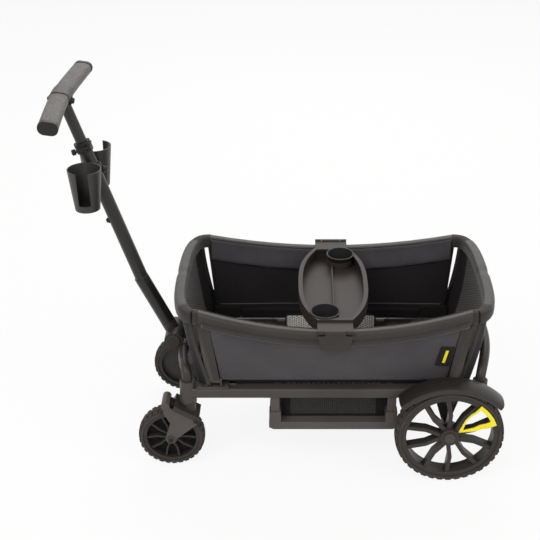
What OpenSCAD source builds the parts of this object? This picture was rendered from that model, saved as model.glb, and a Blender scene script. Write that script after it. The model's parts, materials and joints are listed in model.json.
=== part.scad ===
// Folding stroller wagon with two seats, a foot well, a snack tray and a telescoping pull handle.
// Sizes are in millimetres. +Z is up, the handle is at -X and the left side is at -Y.

/* [Rear wheels] */
// Diameter over the tyre
rear_d = 292; // [270:1:310]
// Width of the tyre
rear_w = 46; // [38:1:50]
// Gap between a rail and a rear wheel
wheel_gap = 31; // [26:1:40]
// Radial thickness of the tyre
rear_tyre_t = 16; // [12:1:20]
// Radial thickness of the rim ring
rear_rim_t = 14; // [10:1:18]
// Radius of the hub
rear_hub_r = 25; // [22:1:30]
// Width of one spoke arm
rear_spoke_w = 11; // [8:1:14]
// Depth of the spokes along the axle
rear_spoke_d = 24; // [16:1:30]
// Turn of the rear spokes at rest
rear_spoke_turn = 20; // [0:1:72]
// Radius of the stub axle
rear_axle_r = 6; // [5:0.5:8]
// Tread blocks round the tyre
rear_lugs = 38; // [24:1:48]
// Radius of the release button in the hub
hub_button_r = 15; // [11:0.5:17]
// Travel of the release button
hub_button_travel = 4; // [2:0.5:5]

/* [Front wheels] */
// Diameter over the tyre
front_d = 182; // [170:1:188]
// Width of the tyre
front_w = 42; // [36:1:43]
// Radial thickness of the tyre
front_tyre_t = 13; // [10:1:16]
// Radial thickness of the rim ring
front_rim_t = 10; // [7:1:13]
// Radius of the hub
front_hub_r = 17; // [14:1:20]
// Width of one spoke arm
front_spoke_w = 5; // [4:0.5:7]
// Depth of the spokes along the axle
front_spoke_d = 18; // [12:1:24]
// Thickness of the web behind the front spokes
front_web_t = 4; // [3:0.5:6]
// Radius of the axle bolt
front_axle_r = 5; // [4:0.5:6]
// Tread blocks round the tyre
front_lugs = 30; // [20:1:40]
// Pairs of spokes in every wheel
spoke_pairs = 5; // [4:1:7]
// Depth of the tread at the shoulders
tread_t = 3; // [1.5:0.5:4]

/* [Casters] */
// Distance of the front axle ahead of the swivel axis
caster_trail = 50; // [44:1:56]
// Radius of the swivel stem
stem_r = 10; // [8:0.5:12]
// Length of the stem inside its housing
stem_len = 50; // [40:1:54]
// Gap from the tyre to the sloped bridge above it
bridge_gap = 5.5; // [4:0.5:8]
// Thickness of the sloped bridge
bridge_t = 7.5; // [6:0.5:9]
// Slope of the bridge from level
bridge_slope = 30; // [26:1:33]
// Thickness of each fork blade
blade_t = 5.5; // [4:0.5:6]
// Thickness of each bridge cheek
cheek_t = 5; // [4:0.5:6]
// Swing of the sprung fork
fork_swing = 4; // [2:0.5:4]

/* [Chassis] */
// Height of the rail tops above the ground
rail_top = 248; // [244:1:256]
// Distance between the middles of the two rails
rail_track = 368; // [360:1:372]
// Distance from the caster housings to the rear sockets
rail_length = 786; // [770:1:800]
// Width of a rail
rail_w = 36; // [32:1:38]
// Height of a rail
rail_h = 30; // [26:1:31]
// Wall of the rail tube
rail_wall = 2.5; // [2:0.5:4]
// Corner radius of the rail
rail_corner = 7; // [4:0.5:9]
// Distance of the rear axle ahead of the rear sockets
axle_setback = 85; // [75:1:95]
// Radius of the caster housing at its top
housing_top_r = 20; // [18:0.5:21]
// Radius of the caster housing at its foot
housing_foot_r = 23; // [22:0.5:24]
// Rise of the housings above the rail tops
housing_rise = 20; // [14:1:24]
// Drop of the housings below the rails
housing_drop = 13; // [11:1:14]
// Radius of the crossbar tubes
crossbar_r = 13.5; // [11:0.5:15]
// Backward bow of the rear crossbar
rear_bow = 30; // [20:1:36]
// Rise of the rear crossbar above its sockets
rear_rise = 46; // [36:1:50]
// Radius of the rear axle beam
beam_r = 14; // [11:0.5:16]
// Thickness of the axle hanger plates
hanger_t = 8; // [6:0.5:12]
// Length of an axle hanger plate at the rail
hanger_len = 70; // [50:1:90]

/* [Foot well] */
// Distance between the middles of the well posts
well_post_span = 316; // [300:1:330]
// Width of a well post along the rail
well_post_w = 24; // [20:1:28]
// Depth of a well post across the rail
well_post_d = 22; // [18:1:26]
// Height of the well's foot above the ground
well_foot = 116; // [108:1:124]
// Height of the lower bar
well_bar_h = 24; // [20:1:28]
// Depth of the lower bar across the rail
well_bar_d = 30; // [26:1:32]
// Length of the lower bar beyond the post middles
well_bar_end = 17; // [14:1:20]
// Height of the post sleeve
well_sleeve_h = 32; // [24:1:40]
// Thickness of the post sleeve
well_sleeve_t = 4; // [3:0.5:5]
// Thickness of the well floor
well_floor_t = 6; // [4:0.5:8]
// Thickness of the well cloth walls
well_wall_t = 3; // [2:0.5:4]

/* [Walls] */
// Distance of a hinge post's top inside the end of its rim
post_inset = 8; // [4:1:14]
// Lean of a hinge post along the wagon
post_lean = 23; // [10:1:30]
// Width of a hinge post along the wagon
post_w = 32; // [28:1:36]
// Thickness of a hinge post
post_t = 15; // [12:0.5:16]
// Height of the wall hinge above the rail tops
hinge_rise = 20; // [18:1:24]
// Radius of the hinge knuckle
knuckle_r = 9; // [8:0.5:10]
// Radius of the hinge pins
hinge_pin_r = 4; // [3:0.5:5]
// Half width of the basket over the rims at mid length
rim_mid_y = 258; // [252:1:262]
// Half width of the basket over the rims at their ends
rim_end_y = 235; // [230:1:240]
// Height of the rim tops at mid length
rim_mid_z = 456; // [446:1:462]
// Height of the rim tops at their ends
rim_end_z = 501; // [494:1:506]
// Distance of the side rims' ends inside the caster housings
rim_setback = 41; // [36:1:46]
// Width of the rims
rim_w = 31; // [26:1:33]
// Height of the rims
rim_h = 34; // [28:1:36]
// Corner radius of the rims
rim_corner = 11; // [8:0.5:13]
// Reach of the end rims beyond the side rims
end_reach = 73; // [66:1:84]
// Thickness of the cloth side panels
panel_t = 5; // [4:0.5:7]
// Outward crown of the cloth side panels
panel_crown = 5; // [0:0.5:8]
// Thickness of the end panels
end_panel_t = 8; // [6:0.5:10]
// Angle by which the left wall folds down
fold_angle = 96; // [80:1:97]

/* [Seats] */
// Thickness of the seat boards
board_t = 9; // [7:0.5:10]
// Depth of the seat boards below the rail tops
board_drop = 16; // [15:0.5:18]
// Length of a seat cushion
cushion_len = 205; // [190:1:208]
// Thickness of a seat cushion at its edge
cushion_edge_t = 15; // [12:0.5:17]
// Crown of a seat cushion
cushion_crown = 9; // [6:0.5:10]
// Depth of the sewn channels in a cushion
channel_depth = 3.5; // [2:0.5:5]
// Width of the harness webbing
webbing_w = 26; // [20:1:32]
// Thickness of the harness webbing
webbing_t = 2; // [1.5:0.5:3]
// Width of the buckle
buckle_w = 44; // [36:1:52]
// Thickness of the buckle
buckle_t = 11; // [8:0.5:12]

/* [Tray] */
// Width of the tray at mid length
tray_w = 190; // [170:1:200]
// Width of the tray at its ends
tray_end_w = 92; // [84:1:100]
// Length of the tray body across the wagon
tray_len = 418; // [400:1:420]
// Depth of the tray body
tray_h = 36; // [28:1:40]
// Rise of the tray's edge above the rim tops
tray_rise = 12; // [8:0.5:16]
// Wall of the tray
tray_wall = 3.5; // [2.5:0.5:5]
// Floor of the tray
tray_floor = 4; // [3:0.5:6]
// Width of the tray's lip
tray_lip_w = 12; // [8:0.5:15]
// Thickness of the tray's lip
tray_lip_t = 6; // [4:0.5:8]
// Radius of the cup wells in the tray
tray_cup_r = 37; // [34:0.5:38]
// Thickness of the tray's end straps
strap_t = 5; // [4:0.5:7]
// Thickness of the latch flaps
flap_t = 4; // [3:0.5:5]
// Length of the latch flaps
flap_len = 52; // [40:1:60]
// Radius of the latch knuckles
flap_knuckle_r = 5; // [4:0.5:6]
// Swing of the latch flaps
flap_swing = 70; // [50:1:80]

/* [Handle] */
// Distance of the handle pivot ahead of the caster housings
hub_ahead = 49; // [44:1:54]
// Height of the handle pivot above the ground
hub_z = 304; // [298:1:310]
// Radius of the pivot barrel
hub_r = 26; // [24:0.5:28]
// Width of the turning part of the pivot barrel
hub_w = 52; // [44:1:58]
// Thickness of each yoke ear
ear_t = 20; // [16:1:22]
// Radius of the pivot pin
pivot_r = 8; // [6:0.5:9]
// Lean of the handle's foot from upright
lean_foot = 25; // [22:0.5:27]
// Lean of the handle's shaft from upright
lean_shaft = 18; // [16:0.5:20]
// Distance from the pivot to the bend in the shaft
bend_at = 190; // [170:1:210]
// Extra wall of the foot sleeve
foot_wall = 2; // [1.5:0.5:3]
// Length of the lower tube above the bend
shaft_len = 412; // [390:1:430]
// Outer radius of the lower tube
lower_r = 18; // [16.5:0.5:19]
// Outer radius of the upper tube
upper_r = 14.5; // [13:0.5:15]
// Length of the upper tube that stands out of the collar
upper_out = 139; // [120:1:156]
// Length of the upper tube inside the lower tube
upper_in = 200; // [150:1:230]
// Outer radius of the telescope collar
collar_r = 22; // [21.5:0.5:25]
// Height of the telescope collar
collar_h = 26; // [22:1:32]
// Radius of the collar knob
knob_r = 8; // [6:0.5:9]
// Radius of the pivot release button
pivot_button_r = 20; // [16:0.5:21]
// Travel of the pivot release button
pivot_button_travel = 4; // [2:0.5:5]

/* [Grip] */
// Length of the grip from end to end
grip_span = 480; // [460:1:500]
// Width of the grip
grip_w = 48; // [44:1:52]
// Thickness of the grip
grip_t = 32; // [28:1:36]
// Backward sweep of the grip ends
grip_sweep = 15; // [6:1:24]
// Drop of the grip ends
grip_drop = 0; // [-4:0.5:10]
// Length of the centre clamp
grip_clamp_len = 54; // [46:1:64]
// Length of each grip end cap
grip_cap_len = 12; // [8:1:16]

/* [Cup holders] */
// Outer radius of a cup holder at its top
cup_top_r = 43.5; // [40:0.5:46]
// Outer radius of a cup holder at its foot
cup_foot_r = 32; // [29:0.5:36]
// Height of a cup holder
cup_h = 110; // [100:1:120]
// Wall of a cup holder
cup_wall = 3; // [2.5:0.5:4]
// Distance of a cup holder's axis from the shaft
cup_y = 80; // [76:0.5:84]
// Distance of the cup clamp below the top of the lower tube
cup_below = 70; // [60:1:90]
// Distance of the cups ahead of the handle
cup_ahead = 8; // [0:1:10]
// Width of the slot for a mug's handle
cup_slot_w = 30; // [24:1:34]
// Height of the cup clamp along the shaft
cup_clamp_h = 26; // [20:1:32]

/* [Fenders and brake] */
// Radius of the fender's arch
fender_r = 192; // [186:1:200]
// Thickness of a fender
fender_t = 3.5; // [2.5:0.5:5]
// Half angle of the fender's arch
fender_half = 44; // [38:1:46]
// Gap between the tyre and the top of the fender
fender_gap = 8; // [6:0.5:12]
// Crown of a fender across its width
fender_crown = 7; // [4:0.5:9]
// Length of the brake pedal behind the axle
pedal_len = 88; // [70:1:96]
// Width of the brake pedal
pedal_w = 96; // [70:1:120]
// Thickness of the brake pedal
pedal_t = 8; // [6:0.5:10]
// Swing of the brake pedal
pedal_swing = 16; // [8:1:20]

/* [Fits] */
// Gap between faces that move past each other
run_gap = 0.5; // [0.3:0.05:0.8]
// Radial clearance of turning and sliding pins
pin_fit = 0.06; // [0.02:0.01:0.1]
// Gap between pieces that are held together
seat_gap = 0.1; // [0.05:0.05:0.2]

/* [Hidden] */
$fn = 64;
cut = 1;
rail_y = rail_track / 2;
rail_bottom = rail_top - rail_h;
rail_mid = rail_top - rail_h / 2;
rail_out = rail_y + rail_w / 2;
rail_in = rail_y - rail_w / 2;
caster_x = -rail_length / 2;
socket_x = rail_length / 2;
housing_foot = rail_bottom - housing_drop;
housing_top = rail_top + housing_rise;
rear_x = socket_x - axle_setback;
rear_r = rear_d / 2;
rear_y = rail_out + wheel_gap + rear_w / 2;
front_r = front_d / 2;
front_x = caster_x - caster_trail;
hub_x = caster_x - hub_ahead;
hinge_y = rail_y + 2 * run_gap;
hinge_z = rail_top + hinge_rise;
rim_half = rail_length / 2 - rim_setback;
end_half = rim_half + end_reach;
post_top_x = rim_half - post_inset;
post_x = post_top_x - post_lean;

// Shares of a wheel: where the spoke arms bend and how far they spread
knee_share = 0.58;
knee_spread_share = 0.55;
end_spread_share = 0.42;
root_spread_share = 0.16;
root_share = 0.72;
rim_width_share = 0.86;
band_share = 0.34;
shoulder_share = 0.82;
lug_share = 0.62;
edge_drop_share = 0.55;
spoke_set_share = 0.12;

// Shares of the caster's bridge, cheeks and fork, in bridge thicknesses and tyre radii
bridge_front_share = 0.47;
bridge_back_share = 0.36;
cheek_depth_share = 1.9;
pivot_in_share = 0.08;
pivot_along_share = 0.33;
blade_shares = [[-0.72, 1.15], [-0.61, 1.2], [-0.5, 1.1], [0.30, 0.66], [0.24, 0.53], [-0.38, 0.02],
                [-0.72, 0.02], [-0.55, 0.58], [-0.74, 0.95]];
blade_lobe_share = 0.16;
blade_ear_share = 0.075;
crown_angle = 95.5;
spring_angles = [84.4, 89];
crown_r_share = 0.13;
spring_t_share = 0.12;
spring_w_share = 0.9;
fork_pin_share = 0.8;

// Shares of the yoke, the crossbars and the grip
collar_back_share = 1.1;
collar_down_share = 0.8;
collar_r_share = 1.3;
tie_back_share = 1.22;
tie_down_share = 0.9;
tie_r_share = 0.34;
boss_share = 1.75;
spigot_share = 1.5;
front_lift_share = 0.42;
front_reach_share = 0.6;
grip_tilt = 8;
grip_power = 1.4;
tread_edge_share = 0.5;
slot_floor_share = 0.17;
cup_floor_share = 0.04;
cup_hold_share = 0.3;
grip_round_share = 0.48;

// Shares of the soft goods and of the tray's outline
cushion_corner_share = 0.09;
cushion_draw_share = 0.018;
channel_share = 0.33;
groove_share = 0.11;
tray_power = 2.8;
tray_cup_share = 0.79;
tray_cup_x_share = 0.27;
divider_share = 0.62;
divider_h_share = 0.55;
cup_ring_share = 0.6;
end_power = 3;
end_foot_share = 0.95;
end_top_share = 0.915;
flap_taper_share = 0.8;
knuckle_len_share = 0.2;

function unit(v) = v / norm(v);
function mix(a, b, t) = a + (b - a) * t;
function polar(r, a) = [r * cos(a), r * sin(a)];

// Points of a rounded rectangle, anticlockwise, with n steps to a corner
function round_rect(w, h, r, n) = [
  for (q = [0:3], i = [0:n])
    let (
      a = 90 * (q + i / n),
      cx = (q == 0 || q == 3) ? w / 2 - r : r - w / 2,
      cy = q < 2 ? h / 2 - r : r - h / 2
    )
    [cx + r * cos(a), cy + r * sin(a)]
];

function disc(r, n) = [for (i = [0:n - 1]) polar(r, 360 * i / n)];

// A closed section set square to the direction t at the point p
function ring(p, t, up, section) =
  let (s = unit(cross(t, up)), n = cross(s, unit(t)))
  [for (c = section) p + c[0] * s + c[1] * n];

// Sections along a path; the directions of the first and the last one may be given
function swept(path, up, section, first = undef, last = undef) =
  let (m = len(path) - 1)
  [for (i = [0:m])
    let (t = path[min(i + 1, m)] - path[max(i - 1, 0)])
    ring(path[i], i == 0 && first != undef ? first : i == m && last != undef ? last : t, up, section)];

function bezier(a, b, c, d, t) =
  a * pow(1 - t, 3) + b * 3 * t * pow(1 - t, 2) + c * 3 * t * t * (1 - t) + d * pow(t, 3);

function total(v, i = 0) = i == len(v) - 1 ? v[i] : v[i] + total(v, i + 1);
function middle(ring) = total(ring) / len(ring);

// A solid through a row of closed rings that have the same number of points
module loft(rings) {
  n = len(rings[0]);
  m = len(rings);
  sides = [
    for (i = [0:m - 2], j = [0:n - 1])
      let (a = i * n + j, b = i * n + (j + 1) % n, c = b + n, d = a + n)
      each [[a, b, c], [a, c, d]]
  ];
  // Each end is closed by a fan round its own middle
  first = [for (j = [0:n - 1]) [m * n, (j + 1) % n, j]];
  last = [for (j = [0:n - 1]) [m * n + 1, (m - 1) * n + j, (m - 1) * n + (j + 1) % n]];
  polyhedron(
    points = concat([for (r = rings) each r], [middle(rings[0]), middle(rings[m - 1])]),
    faces = concat(sides, first, last)
  );
}

module on_side(s) {
  if (s < 0)
    children();
  else
    mirror([0, 1, 0])
      children();
}

// Local +Z points to the left, along -Y
module axle_frame(x, y, z) {
  translate([x, -y, z])
    rotate([90, 0, 0])
      children();
}

// Plate drawn in X and Z, from y to y + t
module upright_plate(y, t, points) {
  translate([0, y + t, 0])
    rotate([90, 0, 0])
      linear_extrude(height = t)
        polygon(points);
}

module block(x, y, z) {
  translate([x[0], y[0], z[0]])
    cube([x[1] - x[0], y[1] - y[0], z[1] - z[0]]);
}

// The box's middle comes to the origin of the part
overall_min = hub_x - handle_grip()[0] - grip_w / 2;
overall_max = max(rear_x + rear_r, end_half);
shift_x = -(overall_min + overall_max) / 2;

// Distance forward and up from the pivot to the grip's middle
function handle_grip() = let (l = shaft_len + upper_out)
  [bend_at * sin(lean_foot) + l * sin(lean_shaft), bend_at * cos(lean_foot) + l * cos(lean_shaft)];
function shaft_at(s) = [
  hub_x - bend_at * sin(lean_foot) - s * sin(lean_shaft), 0,
  hub_z + bend_at * cos(lean_foot) + s * cos(lean_shaft)
];

// Wheels

function lug_outline(r, t, n, share) = [
  for (i = [0:n - 1], k = [[0, 0], [1 - share, 0], [1 - share, 1], [1, 1]])
    polar(r - (k[1] == 0 ? t : 0), 360 * (i + k[0]) / n)
];

module tyre(d, w, t, lugs) {
  r = d / 2;
  band = w * band_share;
  shoulder = (w * shoulder_share - band) / 2;
  difference() {
    union() {
      cylinder(r = r, h = band, center = true);
      translate([0, 0, band / 2])
        linear_extrude(height = shoulder)
          polygon(lug_outline(r - tread_t / 2, tread_t, lugs, lug_share));
      mirror([0, 0, 1])
        translate([0, 0, band / 2])
          rotate(180 / lugs)
            linear_extrude(height = shoulder)
              polygon(lug_outline(r - tread_t / 2, tread_t, lugs, lug_share));
      cylinder(r = r - t * edge_drop_share, h = w, center = true);
    }
    cylinder(r = r - t, h = w + 2 * cut, center = true);
  }
}

// One bent spoke arm: a strip of width w through three points
function strip(p, w) =
  let (
    d1 = unit(p[1] - p[0]), d2 = unit(p[2] - p[1]),
    n1 = [-d1[1], d1[0]], n2 = [-d2[1], d2[0]],
    m = (n1 + n2) / (1 + n1 * n2)
  )
  [p[0] - n1 * w / 2, p[1] - m * w / 2, p[2] - n2 * w / 2, p[2] + n2 * w / 2, p[1] + m * w / 2,
   p[0] + n1 * w / 2];

module wheel(d, w, tyre_t, rim_t, hub_r, hub_w, spoke_w, spoke_d, bore_r, turn, web_t) {
  seat = d / 2 - tyre_t - seat_gap;
  inner = seat - rim_t;
  pitch = 180 / spoke_pairs;
  difference() {
    union() {
      difference() {
        cylinder(r = seat, h = w * rim_width_share, center = true);
        cylinder(r = inner, h = w, center = true);
      }
      cylinder(r = hub_r, h = hub_w, center = true);
      translate([0, 0, w * spoke_set_share - spoke_d / 2])
        for (i = [0:spoke_pairs - 1], s = [-1, 1])
          rotate(90 + turn + 360 * i / spoke_pairs)
            linear_extrude(height = spoke_d)
              polygon(strip([
                polar(hub_r * root_share, s * pitch * root_spread_share),
                polar(inner * knee_share, s * pitch * knee_spread_share),
                polar(inner + rim_t / 2, s * pitch * end_spread_share)
              ], spoke_w));
      if (web_t > 0)
        translate([0, 0, w * spoke_set_share - spoke_d / 2])
          cylinder(r = inner + rim_t / 2, h = web_t);
    }
    cylinder(r = bore_r, h = w + hub_w, center = true);
  }
}

rear_hub_w = rear_w + 2 * run_gap;
button_seat = hub_button_travel * 2 + run_gap;

module rear_rim_shape() {
  axle_frame(rear_x, rear_y, rear_r)
    difference() {
      wheel(rear_d, rear_w, rear_tyre_t, rear_rim_t, rear_hub_r, rear_hub_w, rear_spoke_w, rear_spoke_d,
            rear_axle_r + pin_fit, rear_spoke_turn, 0);
      translate([0, 0, rear_hub_w / 2 - button_seat])
        cylinder(r = hub_button_r + pin_fit, h = button_seat + cut);
    }
}

module rear_tyre_shape() {
  axle_frame(rear_x, rear_y, rear_r)
    tyre(rear_d, rear_w, rear_tyre_t, rear_lugs);
}

module hub_button_shape() {
  axle_frame(rear_x, rear_y, rear_r)
    translate([0, 0, rear_hub_w / 2 - hub_button_travel])
      union() {
        cylinder(r = hub_button_r, h = hub_button_travel * 2);
        translate([0, 0, hub_button_travel * 2])
          cylinder(r1 = hub_button_r, r2 = hub_button_r - hub_button_travel, h = hub_button_travel / 2);
      }
}

front_hub_w = front_w + 2 * run_gap;

module front_rim_shape() {
  axle_frame(front_x, rail_y, front_r)
    wheel(front_d, front_w, front_tyre_t, front_rim_t, front_hub_r, front_hub_w, front_spoke_w, front_spoke_d,
          front_axle_r + pin_fit, 180 / spoke_pairs, front_web_t);
}

module front_tyre_shape() {
  axle_frame(front_x, rail_y, front_r)
    tyre(front_d, front_w, front_tyre_t, front_lugs);
}

// Casters: the bridge is tangent to the tyre, in a frame whose +Z leaves the axle along the bridge's normal

bridge_in = front_r + bridge_gap;
bridge_front = -front_d * bridge_front_share / 2;
bridge_back = front_d * bridge_back_share / 2;
blade_in = front_hub_w / 2 + run_gap;
blade_out = blade_in + blade_t;
cheek_in = blade_out + run_gap;
cheek_out = cheek_in + cheek_t;
fork_pivot_n = bridge_in - front_r * pivot_in_share;
fork_pivot_t = front_r * pivot_along_share;
fork_pivot_x = front_x + fork_pivot_n * sin(bridge_slope) + fork_pivot_t * cos(bridge_slope);
fork_pivot_z = front_r + fork_pivot_n * cos(bridge_slope) - fork_pivot_t * sin(bridge_slope);
fork_pin_r = front_axle_r * fork_pin_share;
crown_r = front_r * crown_r_share;

module bridge_frame() {
  translate([front_x, -rail_y, front_r])
    rotate([0, bridge_slope, 0])
      children();
}

module caster_bracket_shape() {
  flange_top = housing_foot - run_gap;
  difference() {
    union() {
      translate([caster_x, -rail_y, front_r])
        cylinder(r = housing_top_r, h = flange_top - front_r);
      translate([caster_x, -rail_y, flange_top - stem_r / 2])
        cylinder(r = housing_foot_r, h = stem_r / 2);
      translate([caster_x, -rail_y, flange_top - stem_r / 2])
        cylinder(r = stem_r - pin_fit, h = stem_r / 2 + stem_len);
      bridge_frame()
        block([bridge_front, bridge_back], [-cheek_out, cheek_out], [bridge_in, bridge_in + bridge_t]);
      for (s = [-1, 1])
        bridge_frame()
          translate([0, s * (cheek_in + cheek_t / 2), 0])
            block([bridge_front, bridge_back], [-cheek_t / 2, cheek_t / 2],
                  [bridge_in + bridge_t - bridge_t * cheek_depth_share, bridge_in + bridge_t]);
    }
    // Room for the tyre and the blades under the bridge
    bridge_frame()
      block([bridge_front * 2, bridge_back * 2], [-cheek_in, cheek_in], [0, bridge_in]);
    translate([fork_pivot_x, -rail_y, fork_pivot_z])
      rotate([90, 0, 0])
        cylinder(r = fork_pin_r + pin_fit, h = 2 * cheek_out + 2 * cut, center = true);
  }
}

module fork_shape() {
  outline = [for (p = blade_shares) [caster_x + p[0] * front_r, front_r + p[1] * front_r]];
  for (s = [-1, 1])
    difference() {
      union() {
        upright_plate(-rail_y + (s < 0 ? -blade_out : blade_in), blade_t, outline);
        translate([front_x, -rail_y + s * (blade_in + blade_out) / 2, front_r])
          rotate([90, 0, 0])
            cylinder(r = front_r * blade_lobe_share, h = blade_t, center = true);
        translate([fork_pivot_x, -rail_y + s * (blade_in + blade_out) / 2, fork_pivot_z])
          rotate([90, 0, 0])
            cylinder(r = front_r * blade_ear_share, h = blade_t, center = true);
      }
      axle_frame(front_x, rail_y, front_r)
        cylinder(r = front_axle_r + seat_gap, h = 4 * cheek_out, center = true);
      axle_frame(fork_pivot_x, rail_y, fork_pivot_z)
        cylinder(r = fork_pin_r + seat_gap, h = 4 * cheek_out, center = true);
    }
  // The crown joins the blades over the tyre
  axle_frame(front_x, rail_y, front_r)
    rotate(crown_angle)
      translate([bridge_in + crown_r, 0, 0])
        cylinder(r = crown_r, h = 2 * blade_out + blade_t / 2, center = true);
}

// Axle bolt and the two pivot bolts
module fork_bolts_shape() {
  axle_frame(front_x, rail_y, front_r)
    union() {
      cylinder(r = front_axle_r, h = 2 * (blade_out + front_axle_r), center = true);
      for (s = [-1, 1])
        translate([0, 0, s * (blade_out + seat_gap + front_axle_r / 2)])
          cylinder(r = front_axle_r * 2, h = front_axle_r, center = true);
    }
  for (s = [-1, 1])
    translate([fork_pivot_x, -rail_y + s * (blade_in + cheek_out) / 2, fork_pivot_z])
      rotate([90, 0, 0])
        cylinder(r = fork_pin_r, h = cheek_out - blade_in, center = true);
}

module fork_spring_shape() {
  axle_frame(front_x, rail_y, front_r)
    rotate(spring_angles[0])
      translate([0, 0, -front_w * spring_w_share / 2])
        rotate_extrude(angle = spring_angles[1] - spring_angles[0])
          translate([bridge_in, 0])
            square([front_r * spring_t_share, front_w * spring_w_share]);
}

// Chassis

module rail_shape() {
  tube_half = rail_length / 2 - housing_top_r;
  difference() {
    union() {
      translate([caster_x, -rail_y, rail_mid])
        rotate([0, 90, 0])
          linear_extrude(height = rail_length)
            polygon(round_rect(rail_h, rail_w, rail_corner, 4));
      translate([caster_x, -rail_y, housing_foot])
        cylinder(r1 = housing_foot_r, r2 = housing_top_r, h = housing_top - housing_foot);
      translate([socket_x, -rail_y, rail_bottom])
        cylinder(r = housing_top_r, h = housing_top - rail_bottom);
    }
    translate([-tube_half + 2 * rail_wall, -rail_y, rail_mid])
      rotate([0, 90, 0])
        linear_extrude(height = 2 * tube_half - 4 * rail_wall)
          polygon(round_rect(rail_h - 2 * rail_wall, rail_w - 2 * rail_wall, rail_corner - rail_wall, 4));
    translate([caster_x, -rail_y, housing_foot - cut])
      cylinder(r = stem_r, h = stem_len + run_gap + cut);
    // Drain hole
    translate([0, -rail_y, rail_bottom - cut])
      cylinder(r = rail_wall, h = 2 * cut + 2 * rail_wall);
  }
}

ear_in = hub_w / 2 + run_gap;
ear_out = ear_in + ear_t;
collar_x = hub_x + hub_r * collar_back_share;
collar_z = hub_z - hub_r * collar_down_share;
socket_r = crossbar_r * collar_r_share;

module front_crossbar() {
  start = [caster_x, -rail_y, housing_top + seat_gap];
  stop = [collar_x, -ear_out - seat_gap, collar_z];
  span = rail_y - ear_out;
  path = [for (i = [0:14])
    bezier(start, start + [0, 0, span * front_lift_share], stop - [0, span * front_reach_share, 0], stop, i / 14)];
  color("DimGray")
    for (s = [-1, 1])
      on_side(s)
        loft(swept(path, [1, 0, 0], disc(crossbar_r, 20), [0, 0, 1], [0, 1, 0]));
}

module rear_crossbar() {
  span = rail_y;
  start = [socket_x, -rail_y, housing_top + seat_gap];
  stop = [socket_x + rear_bow, 0, housing_top + rear_rise];
  half = [for (i = [0:14])
    bezier(start, start + [0, 0, rear_rise], stop - [0, span * front_reach_share, 0], stop, i / 14)];
  path = concat(half, [for (i = [13:-1:0]) [half[i][0], -half[i][1], half[i][2]]]);
  color("DimGray")
    loft(swept(path, [1, 0, 0], disc(crossbar_r, 20), [0, 0, 1], [0, 0, -1]));
}

module handle_yoke() {
  button_depth = pivot_button_travel * 2 + run_gap;
  color("DimGray")
    difference() {
      union() {
        for (s = [-1, 1])
          translate([0, s * (ear_in + ear_t / 2), 0])
            rotate([90, 0, 0])
              union() {
                translate([hub_x, hub_z, 0])
                  cylinder(r = hub_r, h = ear_t, center = true);
                translate([collar_x, collar_z, 0])
                  cylinder(r = socket_r, h = ear_t, center = true);
                translate([hub_x + hub_r * tie_back_share, hub_z - hub_r * tie_down_share, 0])
                  cylinder(r = hub_r * tie_r_share, h = ear_t, center = true);
              }
        translate([hub_x + hub_r * tie_back_share, 0, hub_z - hub_r * tie_down_share])
          rotate([90, 0, 0])
            cylinder(r = hub_r * tie_r_share, h = 2 * ear_out, center = true);
        translate([hub_x, 0, hub_z])
          rotate([90, 0, 0])
            cylinder(r = pivot_r, h = 2 * ear_out - ear_t, center = true);
      }
      axle_frame(hub_x, ear_out - button_depth, hub_z)
        cylinder(r = pivot_button_r + pin_fit, h = button_depth + cut);
    }
}

module pivot_button() {
  color("Black")
    axle_frame(hub_x, ear_out - pivot_button_travel, hub_z)
      union() {
        cylinder(r = pivot_button_r, h = pivot_button_travel * 1.5);
        translate([0, 0, pivot_button_travel * 1.5])
          cylinder(r1 = pivot_button_r, r2 = pivot_button_r - pivot_button_travel, h = pivot_button_travel / 2);
      }
}

module rear_axle() {
  foot = rear_r - beam_r;
  inner = rear_y - rear_hub_w / 2 - run_gap;
  tip = rear_y + rear_hub_w / 2 - button_seat - run_gap;
  color("DimGray") {
    difference() {
      union() {
        translate([rear_x, 0, rear_r])
          rotate([90, 0, 0])
            cylinder(r = beam_r, h = 2 * inner, center = true);
        translate([rear_x, 0, rear_r])
          rotate([90, 0, 0])
            cylinder(r = rear_axle_r, h = 2 * tip, center = true);
        for (s = [-1, 1])
          upright_plate(s * rail_y - hanger_t / 2, hanger_t, [
            [rear_x - beam_r, rear_r], [rear_x - beam_r / 2, foot], [rear_x + beam_r / 2, foot],
            [rear_x + beam_r, rear_r], [rear_x + hanger_len / 2, rail_bottom - seat_gap],
            [rear_x - hanger_len / 2, rail_bottom - seat_gap]
          ]);
      }
    }
  }
}

module brake_pedal() {
  sleeve_r = beam_r + pedal_t;
  arm_z = rear_r - sleeve_r + pedal_t;
  color("Black")
    difference() {
      union() {
        translate([rear_x, 0, rear_r])
          rotate([90, 0, 0])
            cylinder(r = sleeve_r, h = pedal_w / 2, center = true);
        block([rear_x, rear_x + pedal_len], [-pedal_w / 6, pedal_w / 6], [arm_z - pedal_t, arm_z]);
        block([rear_x + pedal_len * 2 / 3, rear_x + pedal_len], [-pedal_w / 2, pedal_w / 2],
              [arm_z - pedal_t, arm_z]);
      }
      translate([rear_x, 0, rear_r])
        rotate([90, 0, 0])
          cylinder(r = beam_r + pin_fit, h = pedal_w, center = true);
    }
}

// Foot well and seats

well_x = well_post_span / 2;
well_half = well_x + well_bar_end;
well_top = well_foot + well_bar_h;
liner_x = well_x - well_post_w / 2;
liner_y = rail_in - seat_gap;
board_top = rail_top - board_drop;

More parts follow.
